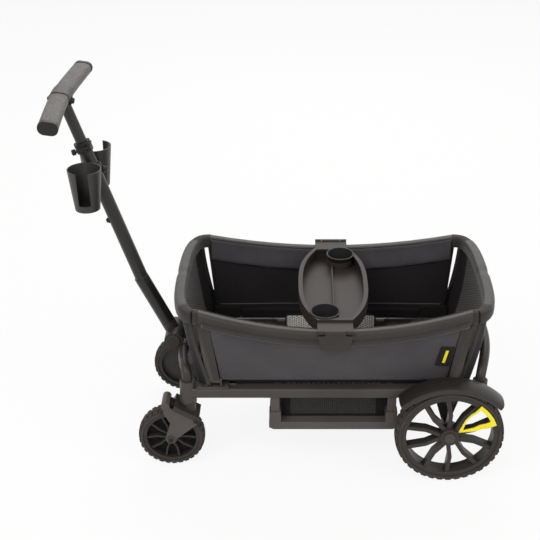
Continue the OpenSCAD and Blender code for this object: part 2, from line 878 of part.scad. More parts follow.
module well_frame() {
  chamfer = well_bar_h / 2;
  color("Black") {
    for (s = [-1, 1])
      on_side(s) {
        upright_plate(-rail_y - well_bar_d / 2, well_bar_d, [
          [-well_half + chamfer, well_foot], [well_half - chamfer, well_foot],
          [well_half, well_foot + chamfer / 2], [well_half, well_top], [-well_half, well_top],
          [-well_half, well_foot + chamfer / 2]
        ]);
        for (e = [-1, 1])
          translate([e * well_x, -rail_y, well_top])
            union() {
              block([-well_post_w / 2, well_post_w / 2], [-well_post_d / 2, well_post_d / 2],
                    [0, rail_bottom - seat_gap - well_top]);
              block([-well_post_w / 2 - well_sleeve_t, well_post_w / 2 + well_sleeve_t],
                    [-well_post_d / 2 - well_sleeve_t, well_post_d / 2 + well_sleeve_t], [0, well_sleeve_h]);
            }
      }
    for (e = [-1, 1])
      translate([e * well_x, 0, well_foot])
        block([-well_post_w / 2, well_post_w / 2], [-rail_y + well_bar_d / 2 + seat_gap, rail_y - well_bar_d / 2 - seat_gap],
              [0, well_floor_t]);
  }
}

module well_floor() {
  color("DimGray")
    block([-well_half, well_half], [-liner_y, liner_y],
          [well_foot + well_floor_t + seat_gap, well_foot + 2 * well_floor_t]);
}

module well_liner() {
  foot = well_foot + 2 * well_floor_t + seat_gap;
  color("Black")
    difference() {
      block([-liner_x, liner_x], [-liner_y, liner_y], [foot, board_top]);
      block([well_wall_t - liner_x, liner_x - well_wall_t], [well_wall_t - liner_y, liner_y - well_wall_t],
            [foot - cut, board_top + cut]);
    }
}

// Each board ends in a low sill under the end panel
module seat_boards() {
  start = liner_x + seat_gap;
  stop = socket_x - housing_foot_r - seat_gap;
  color("Black")
    for (s = [-1, 1])
      mirror([s < 0 ? 1 : 0, 0, 0])
        union() {
          block([start, stop], [-liner_y, liner_y], [board_top - board_t, board_top]);
          block([stop - board_t / 2, stop], [-liner_y, liner_y], [board_top - board_t, rail_top]);
        }
}

cushion_y = rail_in - 2 * board_t / 3;
cushion_foot = board_top + seat_gap;
cushion_mid = liner_x + board_t / 2 + cushion_len / 2;

// Top of a cushion at shares u along and v across it, from -1 to 1, with two sewn channels across
function cushion_top(u, v) =
  cushion_edge_t + cushion_crown * (1 - pow(u, 4)) * (1 - pow(v, 4))
  - channel_depth * (groove(u - channel_share) + groove(u + channel_share)) * (1 - pow(v, 4));
function groove(u) = exp(-pow(u / groove_share, 2));

module seat_cushion_shape(s) {
  steps = 24;
  across = 14;
  rings = [for (i = [0:steps])
    let (
      u = -1 + 2 * i / steps,
      inset = cushion_len * cushion_corner_share * pow(abs(u), 12),
      half = cushion_y - inset - cushion_len * cushion_draw_share * (1 - pow(u, 2)),
      x = s * cushion_mid + u * cushion_len / 2
    )
    concat(
      [for (j = [0:across]) let (v = 1 - 2 * j / across) [x, half * v, cushion_foot + cushion_top(u, v)]],
      [for (j = [0:4]) [x, half * (-1 + j / 2), cushion_foot]]
    )];
  color("Black")
    loft(rings);
}

// Lap straps, a middle strap and a buckle lie over the cushion
module harness_shape(s) {
  z = cushion_foot + cushion_edge_t + cushion_crown + seat_gap;
  x = s * cushion_mid;
  arm = cushion_y - buckle_w;
  color("Black") {
    for (e = [-1, 1])
      on_side(e)
        block([x - webbing_w / 2, x + webbing_w / 2], [-arm, -buckle_w / 2 + seat_gap], [z, z + webbing_t]);
    block([x - buckle_w / 2, x + buckle_w / 2], [-buckle_w / 2 + 2 * seat_gap, buckle_w / 2 - 2 * seat_gap],
          [z, z + buckle_t]);
    block(s < 0 ? [x + buckle_w / 2, x + cushion_len / 2 - webbing_w / 2]
                : [x - cushion_len / 2 + webbing_w / 2, x - buckle_w / 2],
          [-webbing_w / 2, webbing_w / 2], [z, z + webbing_t]);
  }
}

// Walls

function rim_share(x) = pow(x / rim_half, 2);
function rim_y(x) = mix(rim_mid_y, rim_end_y, rim_share(x)) - rim_w / 2;
function rim_z(x) = mix(rim_mid_z, rim_end_z, rim_share(x)) - rim_h / 2;

bracket_half = post_w / 2 + run_gap + knuckle_r / 2 + seat_gap;

module hinge_brackets() {
  base_t = knuckle_r / 2;
  reach = post_w / 2 + run_gap;
  ear = bracket_half - reach;
  color("Black")
    for (s = [-1, 1], e = [-1, 1])
      on_side(s)
        translate([e * post_x, 0, rail_top + seat_gap])
          difference() {
            union() {
              block([-reach - ear, reach + ear], [-hinge_y - knuckle_r, -hinge_y + knuckle_r], [0, base_t]);
              for (k = [-1, 1])
                translate([k * (reach + ear / 2), 0, 0])
                  union() {
                    block([-ear / 2, ear / 2], [-hinge_y - knuckle_r, -hinge_y + knuckle_r],
                          [0, hinge_rise - seat_gap]);
                    translate([0, -hinge_y, hinge_rise - seat_gap])
                      rotate([0, 90, 0])
                        cylinder(r = knuckle_r, h = ear, center = true);
                  }
            }
            translate([0, -hinge_y, hinge_rise - seat_gap])
              rotate([0, 90, 0])
                cylinder(r = hinge_pin_r + seat_gap, h = 2 * (reach + ear) + cut, center = true);
          }
}

module hinge_pins() {
  reach = post_w / 2 + run_gap + knuckle_r / 2;
  color("Silver")
    for (s = [-1, 1], e = [-1, 1])
      on_side(s)
        translate([e * post_x, -hinge_y, hinge_z])
          rotate([0, 90, 0])
            cylinder(r = hinge_pin_r, h = 2 * reach, center = true);
}

module rim_shape(grow) {
  n = 24;
  section = round_rect(rim_w + grow, rim_h + grow, rim_corner, 3);
  loft([for (i = [0:n])
    let (x = rim_half * (2 * i / n - 1))
    ring([x, -rim_y(x), rim_z(x)], [1, 0, 0], [0, 0, 1], section)]);
}

module wall_posts_shape() {
  out = rim_y(post_top_x) - hinge_y;
  up = rim_z(post_top_x) - hinge_z;
  side = atan((post_top_x - post_x) / up);
  for (e = [-1, 1])
    difference() {
      translate([e * post_x, -hinge_y, hinge_z])
        rotate([atan(out / up), 0, 0])
          union() {
            rotate([0, 90, 0])
              cylinder(r = knuckle_r, h = post_w, center = true);
            rotate([0, e * side, 0])
              block([-post_w / 2, post_w / 2], [-post_t / 2, post_t / 2], [0, norm([out, up])]);
          }
      translate([e * post_x, -hinge_y, hinge_z])
        rotate([0, 90, 0])
          cylinder(r = hinge_pin_r + pin_fit, h = 2 * post_w, center = true);
      rim_shape(2 * seat_gap);
      // The knuckle keeps clear of the bracket's ears
      for (k = [-1, 1])
        translate([e * post_x + k * post_w, -hinge_y, hinge_z])
          rotate([0, 90, 0])
            cylinder(r = 2 * knuckle_r, h = post_w, center = true);
      // The head keeps clear of the end rim
      translate([e * (rim_half - seat_gap + post_w / 2), 0, 0])
        block([-post_w / 2, post_w / 2], [-rim_mid_y, 0], [end_z - rim_h / 2 - run_gap, rim_end_z + rim_h]);
    }
}

module side_panel_shape() {
  n = 20;
  m = 8;
  foot_y = hinge_y;
  foot_z = rail_top + hinge_rise / 2;
  half_foot = post_x - bracket_half - knuckle_r / 2;
  half_top = mix(post_x, post_top_x, 1 - rim_h / 2 / (end_z - hinge_z)) - post_w / 2 - 3 * run_gap;
  rings = [for (i = [0:n])
    let (u = 2 * i / n - 1)
    concat(
      [for (j = [0:m]) let (t = j / m) panel_point(u, t, half_foot, half_top, foot_y, foot_z, 1)],
      [for (j = [m:-1:0]) let (t = j / m) panel_point(u, t, half_foot, half_top, foot_y, foot_z, -1)]
    )];
  loft(rings);
}

function panel_point(u, t, half_foot, half_top, foot_y, foot_z, face) =
  let (
    x = u * mix(half_foot, half_top, t),
    crown = panel_crown * 4 * t * (1 - t) * (1 - pow(u, 4)),
    y = mix(foot_y, rim_y(x), t) + crown + face * panel_t / 2,
    z = mix(foot_z, rim_z(x) - rim_h / 2 - seat_gap - panel_t * abs(tan(rim_slope(x))) / 2, t)
  )
  [x, -y, z];
function rim_slope(x) = atan(2 * (rim_end_z - rim_mid_z) * x / pow(rim_half, 2));

// Ends of the basket: a cloth back and a padded band round the corners
end_depth = end_half - rim_half - rim_w / 2;
end_y = rim_y(rim_half);
end_z = rim_z(rim_half);
function end_x(y) = rim_half + end_depth * pow(max(0, 1 - pow(abs(y / end_y), end_power)), 1 / end_power);

module end_rim_shape() {
  n = 40;
  path = [for (i = [0:n])
    let (
      a = -90 + 180 * i / n,
      c = pow(abs(cos(a)), 2 / end_power),
      w = sign(a) * pow(abs(sin(a)), 2 / end_power)
    )
    [-rim_half - seat_gap - end_depth * c, end_y * w, end_z]];
  loft(swept(path, [0, 0, 1], round_rect(rim_w, rim_h, rim_corner, 3), [-1, 0, 0], [1, 0, 0]));
}

module end_panel_shape() {
  n = 20;
  m = 6;
  rings = [for (i = [0:n])
    let (u = 2 * i / n - 1)
    concat(
      [for (j = [0:m]) end_point(u, j / m, -1)],
      [for (j = [m:-1:0]) end_point(u, j / m, 1)]
    )];
  loft(rings);
}

function end_point(u, t, face) =
  let (
    y = u * mix(rail_out * end_foot_share, end_y * end_top_share, t),
    foot = rim_half + knuckle_r / 2 + end_panel_t / 2 + (rim_w - end_panel_t) * (1 - u * u) / 2,
    x = mix(foot, end_x(y), t) - face * end_panel_t / 2
  )
  [-x, y, mix(rail_top + seat_gap, end_z - rim_h / 2 - seat_gap, t)];

// Tray

strap_z = rim_mid_z + run_gap + (rim_end_z - rim_mid_z) * rim_share(tray_end_w / 2);
tray_top = rim_mid_z + tray_rise;
tray_foot = tray_top - tray_h;
tray_half = tray_len / 2;
flap_y = rim_mid_y + run_gap + flap_knuckle_r;
flap_z = strap_z + flap_knuckle_r;

function tray_half_x(y) =
  let (k = pow(min(1, abs(y) / tray_half), tray_power)) mix(tray_w, tray_end_w, k) / 2;
function tray_outline(inset) =
  let (half = tray_half - inset, n = 24)
  concat(
    [for (i = [0:n]) let (y = half * (2 * i / n - 1)) [tray_half_x(y) - inset, y]],
    [for (i = [n:-1:0]) let (y = half * (2 * i / n - 1)) [inset - tray_half_x(y), y]]
  );

module tray() {
  cup_at = tray_half * tray_cup_share;
  cup_x = tray_end_w * tray_cup_x_share;
  well = tray_h - tray_floor;
  len = tray_end_w * knuckle_len_share;
  color("DimGray")
    union() {
      difference() {
        translate([0, 0, tray_foot])
          linear_extrude(height = tray_h)
            polygon(tray_outline(0));
        translate([0, 0, tray_foot + tray_floor])
          linear_extrude(height = tray_h)
            polygon(tray_outline(tray_wall));
      }
      // Lip round the top, open over the cup wells
      difference() {
        translate([0, 0, tray_top - tray_lip_t])
          linear_extrude(height = tray_lip_t)
            polygon(tray_outline(0));
        translate([0, 0, tray_foot])
          linear_extrude(height = 2 * tray_h)
            polygon(tray_outline(tray_lip_w));
        for (s = [-1, 1])
          translate([s * cup_x, s * cup_at, tray_foot])
            cylinder(r = tray_cup_r, h = 2 * tray_h);
      }
      for (s = [-1, 1]) {
        // Ring of a cup well
        translate([s * cup_x, s * cup_at, tray_foot + tray_floor / 2])
          difference() {
            cylinder(r = tray_cup_r, h = tray_h * cup_ring_share);
            translate([0, 0, -tray_floor])
              cylinder(r = tray_cup_r - tray_wall, h = 2 * tray_h);
          }
        // Strap over the rim, with the outer knuckles of the latch
        on_side(s) {
          block([-tray_end_w / 2, tray_end_w / 2], [-rim_mid_y, -tray_half + tray_wall], [strap_z, strap_z + strap_t]);
          for (e = [-1, 1])
            translate([e * (tray_end_w / 2 - len / 2), 0, 0])
              difference() {
                union() {
                  block([-len / 2, len / 2], [-flap_y, -rim_mid_y + strap_t], [strap_z, strap_z + strap_t]);
                  translate([0, -flap_y, flap_z])
                    rotate([0, 90, 0])
                      cylinder(r = flap_knuckle_r, h = len, center = true);
                }
              }
        }
      }
      // Low divider along the middle
      block([-tray_wall / 2, tray_wall / 2], [-tray_half * divider_share, tray_half * divider_share],
            [tray_foot + tray_floor / 2, tray_foot + tray_h * divider_h_share]);
    }
}

module latch_flap_shape() {
  inner = tray_end_w / 2 - tray_end_w * knuckle_len_share - run_gap;
  half = tray_end_w / 2;
  low = half * flap_taper_share;
  drop = flap_knuckle_r + strap_t;
  union() {
    translate([0, -flap_y, flap_z])
      rotate([0, 90, 0])
        cylinder(r = flap_knuckle_r, h = 2 * inner, center = true);
    upright_plate(-flap_y - flap_t / 2, flap_t, [
      [-inner, flap_z], [-inner, flap_z - drop], [-half, flap_z - drop], [-low, flap_z - flap_len],
      [low, flap_z - flap_len], [half, flap_z - drop], [inner, flap_z - drop], [inner, flap_z]
    ]);
  }
}

// Handle

module along_foot() {
  translate([hub_x, 0, hub_z])
    rotate([0, -lean_foot, 0])
      children();
}

module along_shaft() {
  translate(shaft_at(0))
    rotate([0, -lean_shaft, 0])
      children();
}

foot_len = hub_r * boss_share;
bore_r = upper_r + run_gap / 2;

module handle_hub() {
  color("DimGray")
    difference() {
      union() {
        translate([hub_x, 0, hub_z])
          rotate([90, 0, 0])
            cylinder(r = hub_r, h = hub_w, center = true);
        along_foot()
          cylinder(r = lower_r + foot_wall, h = foot_len);
        along_foot()
          cylinder(r = bore_r + foot_wall - seat_gap, h = foot_len * spigot_share);
      }
      translate([hub_x, 0, hub_z])
        rotate([90, 0, 0])
          cylinder(r = pivot_r + pin_fit, h = 2 * hub_w, center = true);
    }
}

// The lower tube: the shaft starts inside a thicker foot sleeve that leans further
module handle_lower() {
  overlap = foot_wall * 4;
  color("DimGray")
    difference() {
      union() {
        along_foot()
          translate([0, 0, foot_len + seat_gap])
            cylinder(r = lower_r + foot_wall, h = bend_at + overlap - foot_len);
        along_shaft()
          translate([0, 0, -overlap])
            cylinder(r = lower_r, h = shaft_len + overlap);
      }
      along_foot()
        cylinder(r = bore_r + foot_wall, h = bend_at + overlap / 2);
      along_shaft()
        translate([0, 0, -overlap / 2])
          cylinder(r = bore_r, h = shaft_len + overlap);
    }
}

knob_y = collar_r + knob_r / 2;
knob_s = shaft_len - collar_h / 6;

module telescope_collar() {
  lip = collar_h / 3;
  color("Black")
    difference() {
      along_shaft()
        difference() {
          union() {
            translate([0, 0, shaft_len - collar_h + lip])
              cylinder(r = collar_r, h = collar_h);
            // Lugs of the clamp on the left side
            translate([0, 0, knob_s])
              block([-knob_r * 1.2, knob_r * 1.2], [-knob_y - knob_r / 2, 0], [-knob_r / 1.2, knob_r / 1.2]);
          }
          translate([0, 0, shaft_len - collar_h])
            cylinder(r = lower_r + seat_gap, h = collar_h + seat_gap);
          cylinder(r = upper_r + pin_fit, h = shaft_len + 2 * collar_h);
          translate([0, -knob_y, knob_s])
            rotate([0, 90, 0])
              cylinder(r = knob_r / 2 + pin_fit, h = 4 * collar_r, center = true);
        }
    }
}

module collar_knob() {
  reach = collar_r + knob_r / 2;
  color("Silver")
    along_shaft()
      translate([0, -knob_y, knob_s])
        rotate([0, 90, 0])
          union() {
            cylinder(r = knob_r / 2, h = 2 * reach, center = true);
            for (k = [-1, 1])
              translate([0, 0, k * (reach - knob_r / 2)])
                difference() {
                  cylinder(r = knob_r, h = knob_r, center = true);
                  for (i = [0:5])
                    rotate(60 * i)
                      translate([knob_r, 0, 0])
                        cylinder(r = knob_r / 5, h = 2 * knob_r, center = true);
                }
          }
}

module handle_upper() {
  color("Silver")
    along_shaft()
      translate([0, 0, shaft_len - upper_in])
        cylinder(r = upper_r, h = upper_in + upper_out - grip_t / 4);
}

// Grip, in a frame at the end of the shaft
module grip_frame() {
  translate(shaft_at(shaft_len + upper_out))
    children();
}

function grip_section(grow) = round_rect(grip_w + grow, grip_t + grow, (grip_t + grow) * grip_round_share, 6);

// Sections along one half of the grip, from the share a to the share b of its length
module grip_piece(a, b, grow, steps) {
  half = grip_span / 2;
  rings = [for (i = [0:steps])
    let (t = mix(a, b, i / steps), k = pow(abs(t), grip_power))
    [for (c = grip_section(grow))
      [
        c[0] * cos(grip_tilt) + c[1] * sin(grip_tilt) + grip_sweep * k,
        -half * t,
        c[1] * cos(grip_tilt) - c[0] * sin(grip_tilt) - grip_drop * k
      ]]];
  loft(rings);
}

clamp_end_share = grip_clamp_len / grip_span;
cap_start_share = 1 - 2 * grip_cap_len / grip_span;

module grip_clamp() {
  color("DimGray")
    difference() {
      grip_frame()
        grip_piece(-clamp_end_share, clamp_end_share, grip_t / 8, 4);
      along_shaft()
        translate([0, 0, shaft_len])
          cylinder(r = upper_r + seat_gap, h = upper_out - grip_t / 4 + seat_gap);
    }
}

module grip_shape() {
  gap = seat_gap / grip_span;
  grip_frame()
    grip_piece(clamp_end_share + gap, cap_start_share - gap, 0, 10);
}

module grip_caps() {
  color("Black")
    for (s = [-1, 1])
      on_side(s)
        grip_frame()
          grip_piece(cap_start_share, 1, grip_t / 16, 2);
}

// Cup holders

cup_s = shaft_len - cup_below;
cup_top_z = shaft_at(cup_s)[2] + cup_h * cup_hold_share;
cup_x = shaft_at(cup_s)[0] - cup_ahead;

module cup_cone(grow, foot, top) {
  slope = (cup_top_r - cup_foot_r) / cup_h;
  translate([cup_x, -cup_y, cup_top_z - cup_h + foot])
    cylinder(r1 = cup_foot_r + slope * foot + grow, r2 = cup_foot_r + slope * top + grow, h = top - foot);
}

module cup_shape() {
  floor_t = cup_h * cup_floor_share;
  slot = cup_h * slot_floor_share;
  difference() {
    cup_cone(0, 0, cup_h);
    cup_cone(-cup_wall, floor_t, cup_h + cut);
    // Slot for a mug's handle, on the outer side
    block([cup_x - cup_slot_w / 2, cup_x + cup_slot_w / 2], [-cup_y - 2 * cup_top_r, -cup_y],
          [cup_top_z - cup_h + slot, cup_top_z + cut]);
  }
}

module cup_clamp() {
  clamp_r = lower_r + 2 * cup_wall;
  color("Black")
    difference() {
      union() {
        along_shaft()
          translate([0, 0, cup_s - cup_clamp_h / 2])
            cylinder(r = clamp_r, h = cup_clamp_h);
        translate([cup_x, 0, cup_top_z - cup_h * cup_hold_share])
          block([-lower_r, lower_r], [-cup_y + cup_foot_r, cup_y - cup_foot_r], [-cup_clamp_h / 3, cup_clamp_h / 3]);
      }
      along_shaft()
        cylinder(r = lower_r + seat_gap, h = shaft_len);
      for (s = [-1, 1])
        on_side(s)
          cup_cone(seat_gap, 0, cup_h);
    }
}

// Fenders

module fender_shape() {
  drop = fender_r + fender_t - rear_r - fender_gap - fender_t;
  half = rear_w / 2 + fender_t + 2 * fender_gap / 3;
  // Crown shares across the width, from the inner to the outer edge
  shares = [[-1, 0.35], [-0.6, 0.8], [0, 1], [0.6, 0.75], [0.88, 0.2], [1, -1]];
  top = [for (p = shares) [fender_r + fender_crown * p[1], half * p[0]]];
  low = [for (i = [len(shares) - 1:-1:0]) [top[i][0] - fender_t, top[i][1] - (i > 3 ? fender_t / 2 : 0)]];
  plate_y = rear_y - half;
  union() {
    axle_frame(rear_x, rear_y, rear_r - drop)
      rotate(90 - fender_half)
        rotate_extrude(angle = 2 * fender_half, $fn = 96)
          polygon(concat(top, low));
    // Bracket from the rail to the inner edge
    upright_plate(-plate_y - fender_t, fender_t, [
      [rear_x - rail_h / 2, rail_bottom], [rear_x + rail_h / 2, rail_bottom],
      for (a = [10:-5:-10]) [rear_x + fender_r * sin(a), rear_r - drop + fender_r * cos(a)]
    ]);
    block([rear_x - rail_h / 2, rear_x + rail_h / 2], [-plate_y, -rail_out - seat_gap], [rail_bottom, rail_top - rail_corner]);
  }
}

// Named pieces

module rail_left() { color("DimGray") rail_shape(); }
module rail_right() { color("DimGray") on_side(1) rail_shape(); }
module fender_left() { color("DimGray") fender_shape(); }
module fender_right() { color("DimGray") on_side(1) fender_shape(); }
module seat_cushion_front() { seat_cushion_shape(-1); }
module seat_cushion_rear() { seat_cushion_shape(1); }
module harness() {
  for (s = [-1, 1])
    harness_shape(s);
}
module end_panel_front() { color("SlateGray") end_panel_shape(); }
module end_panel_rear() { color("SlateGray") mirror([1, 0, 0]) end_panel_shape(); }
module end_rim_front() { color("Gray") end_rim_shape(); }
module end_rim_rear() { color("Gray") mirror([1, 0, 0]) end_rim_shape(); }
module wall_posts_left() { color("DimGray") wall_posts_shape(); }
module wall_posts_right() { color("DimGray") on_side(1) wall_posts_shape(); }
module rim_left() { color("DimGray") rim_shape(0); }
module rim_right() { color("DimGray") on_side(1) rim_shape(0); }
module side_panel_left() { color("SlateGray") side_panel_shape(); }
module side_panel_right() { color("SlateGray") on_side(1) side_panel_shape(); }
module latch_left() { color("DimGray") latch_flap_shape(); }
module latch_right() { color("DimGray") on_side(1) latch_flap_shape(); }
module cup_left() { color("DimGray") cup_shape(); }
module cup_right() { color("DimGray") on_side(1) cup_shape(); }
module grips() {
  color("Black")
    for (s = [-1, 1])
      on_side(s)
        grip_shape();
}
module caster_left() { color("Black") caster_bracket_shape(); }
module caster_right() { color("Black") on_side(1) caster_bracket_shape(); }
module fork_left() {
  color("DimGray") fork_shape();
  color("Silver") fork_bolts_shape();
}
module fork_right() {
  color("DimGray") on_side(1) fork_shape();
  color("Silver") on_side(1) fork_bolts_shape();
}
module fork_spring_left() { color("Black") fork_spring_shape(); }
module fork_spring_right() { color("Black") on_side(1) fork_spring_shape(); }
module front_rim_left() { color("DimGray") front_rim_shape(); }
module front_rim_right() { color("DimGray") on_side(1) front_rim_shape(); }
module front_tyre_left() { color("Black") front_tyre_shape(); }
module front_tyre_right() { color("Black") on_side(1) front_tyre_shape(); }
module rear_rim_left() { color("DimGray") rear_rim_shape(); }
module rear_rim_right() { color("DimGray") on_side(1) rear_rim_shape(); }
module rear_tyre_left() { color("Black") rear_tyre_shape(); }
module rear_tyre_right() { color("Black") on_side(1) rear_tyre_shape(); }
module hub_button_left() { color("Gray") hub_button_shape(); }
module hub_button_right() { color("Gray") on_side(1) hub_button_shape(); }

module place() {
  translate([shift_x, 0, 0])
    children();
}

place() rail_left();
place() rail_right();
place() front_crossbar();
place() rear_crossbar();
place() handle_yoke();
place() pivot_button();
place() rear_axle();
place() brake_pedal();
place() well_frame();
place() well_floor();
place() well_liner();
place() seat_boards();
place() seat_cushion_front();
place() seat_cushion_rear();
place() harness();
place() hinge_brackets();
place() hinge_pins();
place() wall_posts_left();
place() wall_posts_right();
place() rim_left();
place() rim_right();
place() side_panel_left();
place() side_panel_right();
place() end_rim_front();
place() end_rim_rear();
place() end_panel_front();
place() end_panel_rear();
place() tray();
place() latch_left();
place() latch_right();
place() handle_hub();
place() handle_lower();
place() telescope_collar();
place() collar_knob();
place() handle_upper();
place() grip_clamp();
place() grips();
place() grip_caps();
place() cup_clamp();
place() cup_left();
place() cup_right();
place() fender_left();
place() fender_right();
place() caster_left();
place() caster_right();
place() fork_left();
place() fork_right();
place() fork_spring_left();
place() fork_spring_right();
place() front_rim_left();
place() front_rim_right();
place() front_tyre_left();
place() front_tyre_right();
place() rear_rim_left();
place() rear_rim_right();
place() rear_tyre_left();
place() rear_tyre_right();
place() hub_button_left();
place() hub_button_right();
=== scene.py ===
import json
import math

import bmesh
import bpy
from mathutils import Matrix, Vector


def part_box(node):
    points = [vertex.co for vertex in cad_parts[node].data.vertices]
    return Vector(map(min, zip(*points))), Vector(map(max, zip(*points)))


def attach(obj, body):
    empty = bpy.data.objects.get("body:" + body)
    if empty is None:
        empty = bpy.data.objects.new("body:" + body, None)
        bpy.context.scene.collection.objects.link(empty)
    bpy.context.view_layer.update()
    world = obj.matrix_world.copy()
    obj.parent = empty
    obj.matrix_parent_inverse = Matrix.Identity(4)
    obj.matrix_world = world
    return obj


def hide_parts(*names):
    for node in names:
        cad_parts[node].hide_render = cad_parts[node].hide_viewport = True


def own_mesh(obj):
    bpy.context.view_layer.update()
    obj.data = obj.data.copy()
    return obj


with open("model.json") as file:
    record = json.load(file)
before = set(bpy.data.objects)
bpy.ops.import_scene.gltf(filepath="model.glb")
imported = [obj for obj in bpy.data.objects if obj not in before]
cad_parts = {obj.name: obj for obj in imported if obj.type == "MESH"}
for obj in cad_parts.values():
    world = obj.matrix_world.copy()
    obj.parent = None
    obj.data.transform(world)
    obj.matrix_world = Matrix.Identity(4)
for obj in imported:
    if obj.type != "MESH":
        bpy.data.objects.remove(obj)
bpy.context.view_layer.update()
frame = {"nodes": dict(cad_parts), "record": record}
nodes = frame["nodes"]
scene = bpy.context.scene
wellLow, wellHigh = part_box("well_frame")
midX = (wellLow.x + wellHigh.x) / 2  # the wagon's own middle, between its two seats
mm = 0.001
sideOf = {"left": -1, "right": 1}
endOf = {"front": -1, "rear": 1}
print("frame loaded:", len(nodes), "solids")


def mix(a, b, t):
    return a + (b - a) * t


def ease(a, b, x):
    t = min(1, max(0, (x - a) / (b - a)))
    return t * t * (3 - 2 * t)


def polar(r, turn):
    return Vector((r * math.cos(math.radians(turn)), r * math.sin(math.radians(turn)), 0))


def tone(r, g, b):
    def lin(c):
        c = c / 255
        return c / 12.92 if c < 0.04045 else ((c + 0.055) / 1.055) ** 2.4
    return (lin(r), lin(g), lin(b), 1)


def shade(colour, by):
    return tuple(c * by for c in colour[:3]) + (1,)


# Shader maths: a socket that takes part in Python expressions
class Sock:
    def __init__(self, tree, out):
        self.tree = tree
        self.out = out

    def calc(self, operation, *others):
        return addNode(self.tree, "Math", {"operation": operation}, dict(enumerate(others)))

    def __add__(self, other):
        return self.calc("ADD", self, other)

    def __radd__(self, other):
        return self.calc("ADD", other, self)

    def __sub__(self, other):
        return self.calc("SUBTRACT", self, other)

    def __rsub__(self, other):
        return self.calc("SUBTRACT", other, self)

    def __mul__(self, other):
        return self.calc("MULTIPLY", self, other)

    def __rmul__(self, other):
        return self.calc("MULTIPLY", other, self)

    def sin(self):
        return self.calc("SINE", self)

    def above(self, low, high):
        return addNode(self.tree, "MapRange", {"interpolation_type": "SMOOTHSTEP"}, {0: self, 1: low, 2: high})


def plug(tree, socket, value):
    if isinstance(value, Sock):
        tree.links.new(value.out, socket)
    else:
        socket.default_value = value


# Every node comes from here: its settings are set first, then its sockets are filled or linked
def addNode(tree, kind, settings=None, sockets=None, out=0):
    step = tree.nodes.new("ShaderNode" + kind)
    for key, value in (settings or {}).items():
        setattr(step, key, value)
    for key, value in (sockets or {}).items():
        plug(tree, step.inputs[key], value)
    return Sock(tree, step.outputs[out])


finishes = {}


class Finish:
    def __init__(self, name, **fixed):
        self.material = finishes[name] = bpy.data.materials.new(name)
        self.material.use_nodes = True
        self.tree = self.material.node_tree
        self.shader = self.tree.nodes["Principled BSDF"]
        self.feed(**fixed)

    def node(self, kind, settings=None, sockets=None, out=0):
        return addNode(self.tree, kind, settings, sockets, out)

    def coords(self, kind="Object"):
        return self.node("TexCoord", out=kind)

    def uvAxes(self):
        split = self.node("SeparateXYZ", sockets={0: self.coords("UV")}).out.node
        return [Sock(self.tree, o) for o in split.outputs[:2]]

    def noise(self, scale, detail=3, rough=0.55, kind="Object", stretch=None):
        at = self.coords(kind)
        if stretch:
            at = self.node("Mapping", sockets={"Vector": at, "Scale": stretch})
        return self.node("TexNoise", sockets={
            "Vector": at, "Scale": scale, "Detail": detail, "Roughness": rough})

    def cells(self, scale, feature="F1"):
        return self.node("TexVoronoi", {"feature": feature}, {"Vector": self.coords(), "Scale": scale})

    def blend(self, share, a, b):
        return self.node("Mix", {"data_type": "RGBA"}, {0: share, 6: a, 7: b}, out=2)

    def bump(self, height, strength, distance):
        return self.node("Bump", sockets={
            "Height": height, "Strength": strength, "Distance": distance})

    def feed(self, **links):
        for key, value in links.items():
            plug(self.tree, self.shader.inputs[key.replace("_", " ")], value)


# Moulded and coated finishes: a speckled skin, slow colour drift and pale scuffs
def skinFinish(name, colour, rough, grain, depth, drift=0.14, wear=0.0, gloss=0.28):
    f = Finish(name, Specular_IOR_Level=gloss)
    speckle = f.noise(grain, 4, 0.6)
    cloud = f.noise(7, 3, 0.5)
    scuff = f.noise(38, 5, 0.7, stretch=(1, 1, 2.5)).above(0.6, 0.78)
    body = f.blend(cloud.above(0.3, 0.7), shade(colour, 1 - drift), shade(colour, 1 + drift))
    body = f.blend(speckle.above(0.42, 0.7) * 0.35, body, shade(colour, 1.5))
    body = f.blend(scuff * wear, body, shade(colour, 1.9))
    f.feed(
        Base_Color=body,
        Roughness=rough + (speckle - 0.5) * 0.22 + (cloud - 0.5) * 0.12 + scuff * 0.08,
        Normal=f.bump(speckle + cloud * 0.15, 0.35, depth))


# Woven finishes follow the piece's own UV map, laid out in metres
def clothFinish(name, colour, pitch, rough=0.85, slub=0.16, contrast=0.3, sheen=0.2):
    f = Finish(name, Sheen_Weight=sheen, Sheen_Roughness=0.45, Specular_IOR_Level=0.25)
    u, v = f.uvAxes()
    turn = 2 * math.pi / pitch
    weave = (u * turn).sin() * (v * turn).sin()
    thread = f.noise(1 / pitch, 2, 0.5, "UV", (1, 0.12, 1))
    cross = f.noise(1 / pitch, 2, 0.5, "UV", (0.12, 1, 1))
    cloud = f.noise(9, 4, 0.6, "UV")
    body = f.blend(cloud.above(0.3, 0.72), shade(colour, 1 - slub), shade(colour, 1 + slub))
    body = f.blend((thread + cross - 0.7).above(0.1, 0.6) * contrast, body, shade(colour, 1.55))
    body = f.blend(weave.above(-0.9, 0.1) * 0.3 + 0.7, shade(colour, 0.55), body)
    f.feed(
        Base_Color=body,
        Roughness=rough + (thread - 0.5) * 0.2,
        Normal=f.bump(weave * 0.5 + thread * 0.5 + cross * 0.5, 0.4, pitch * 0.5))


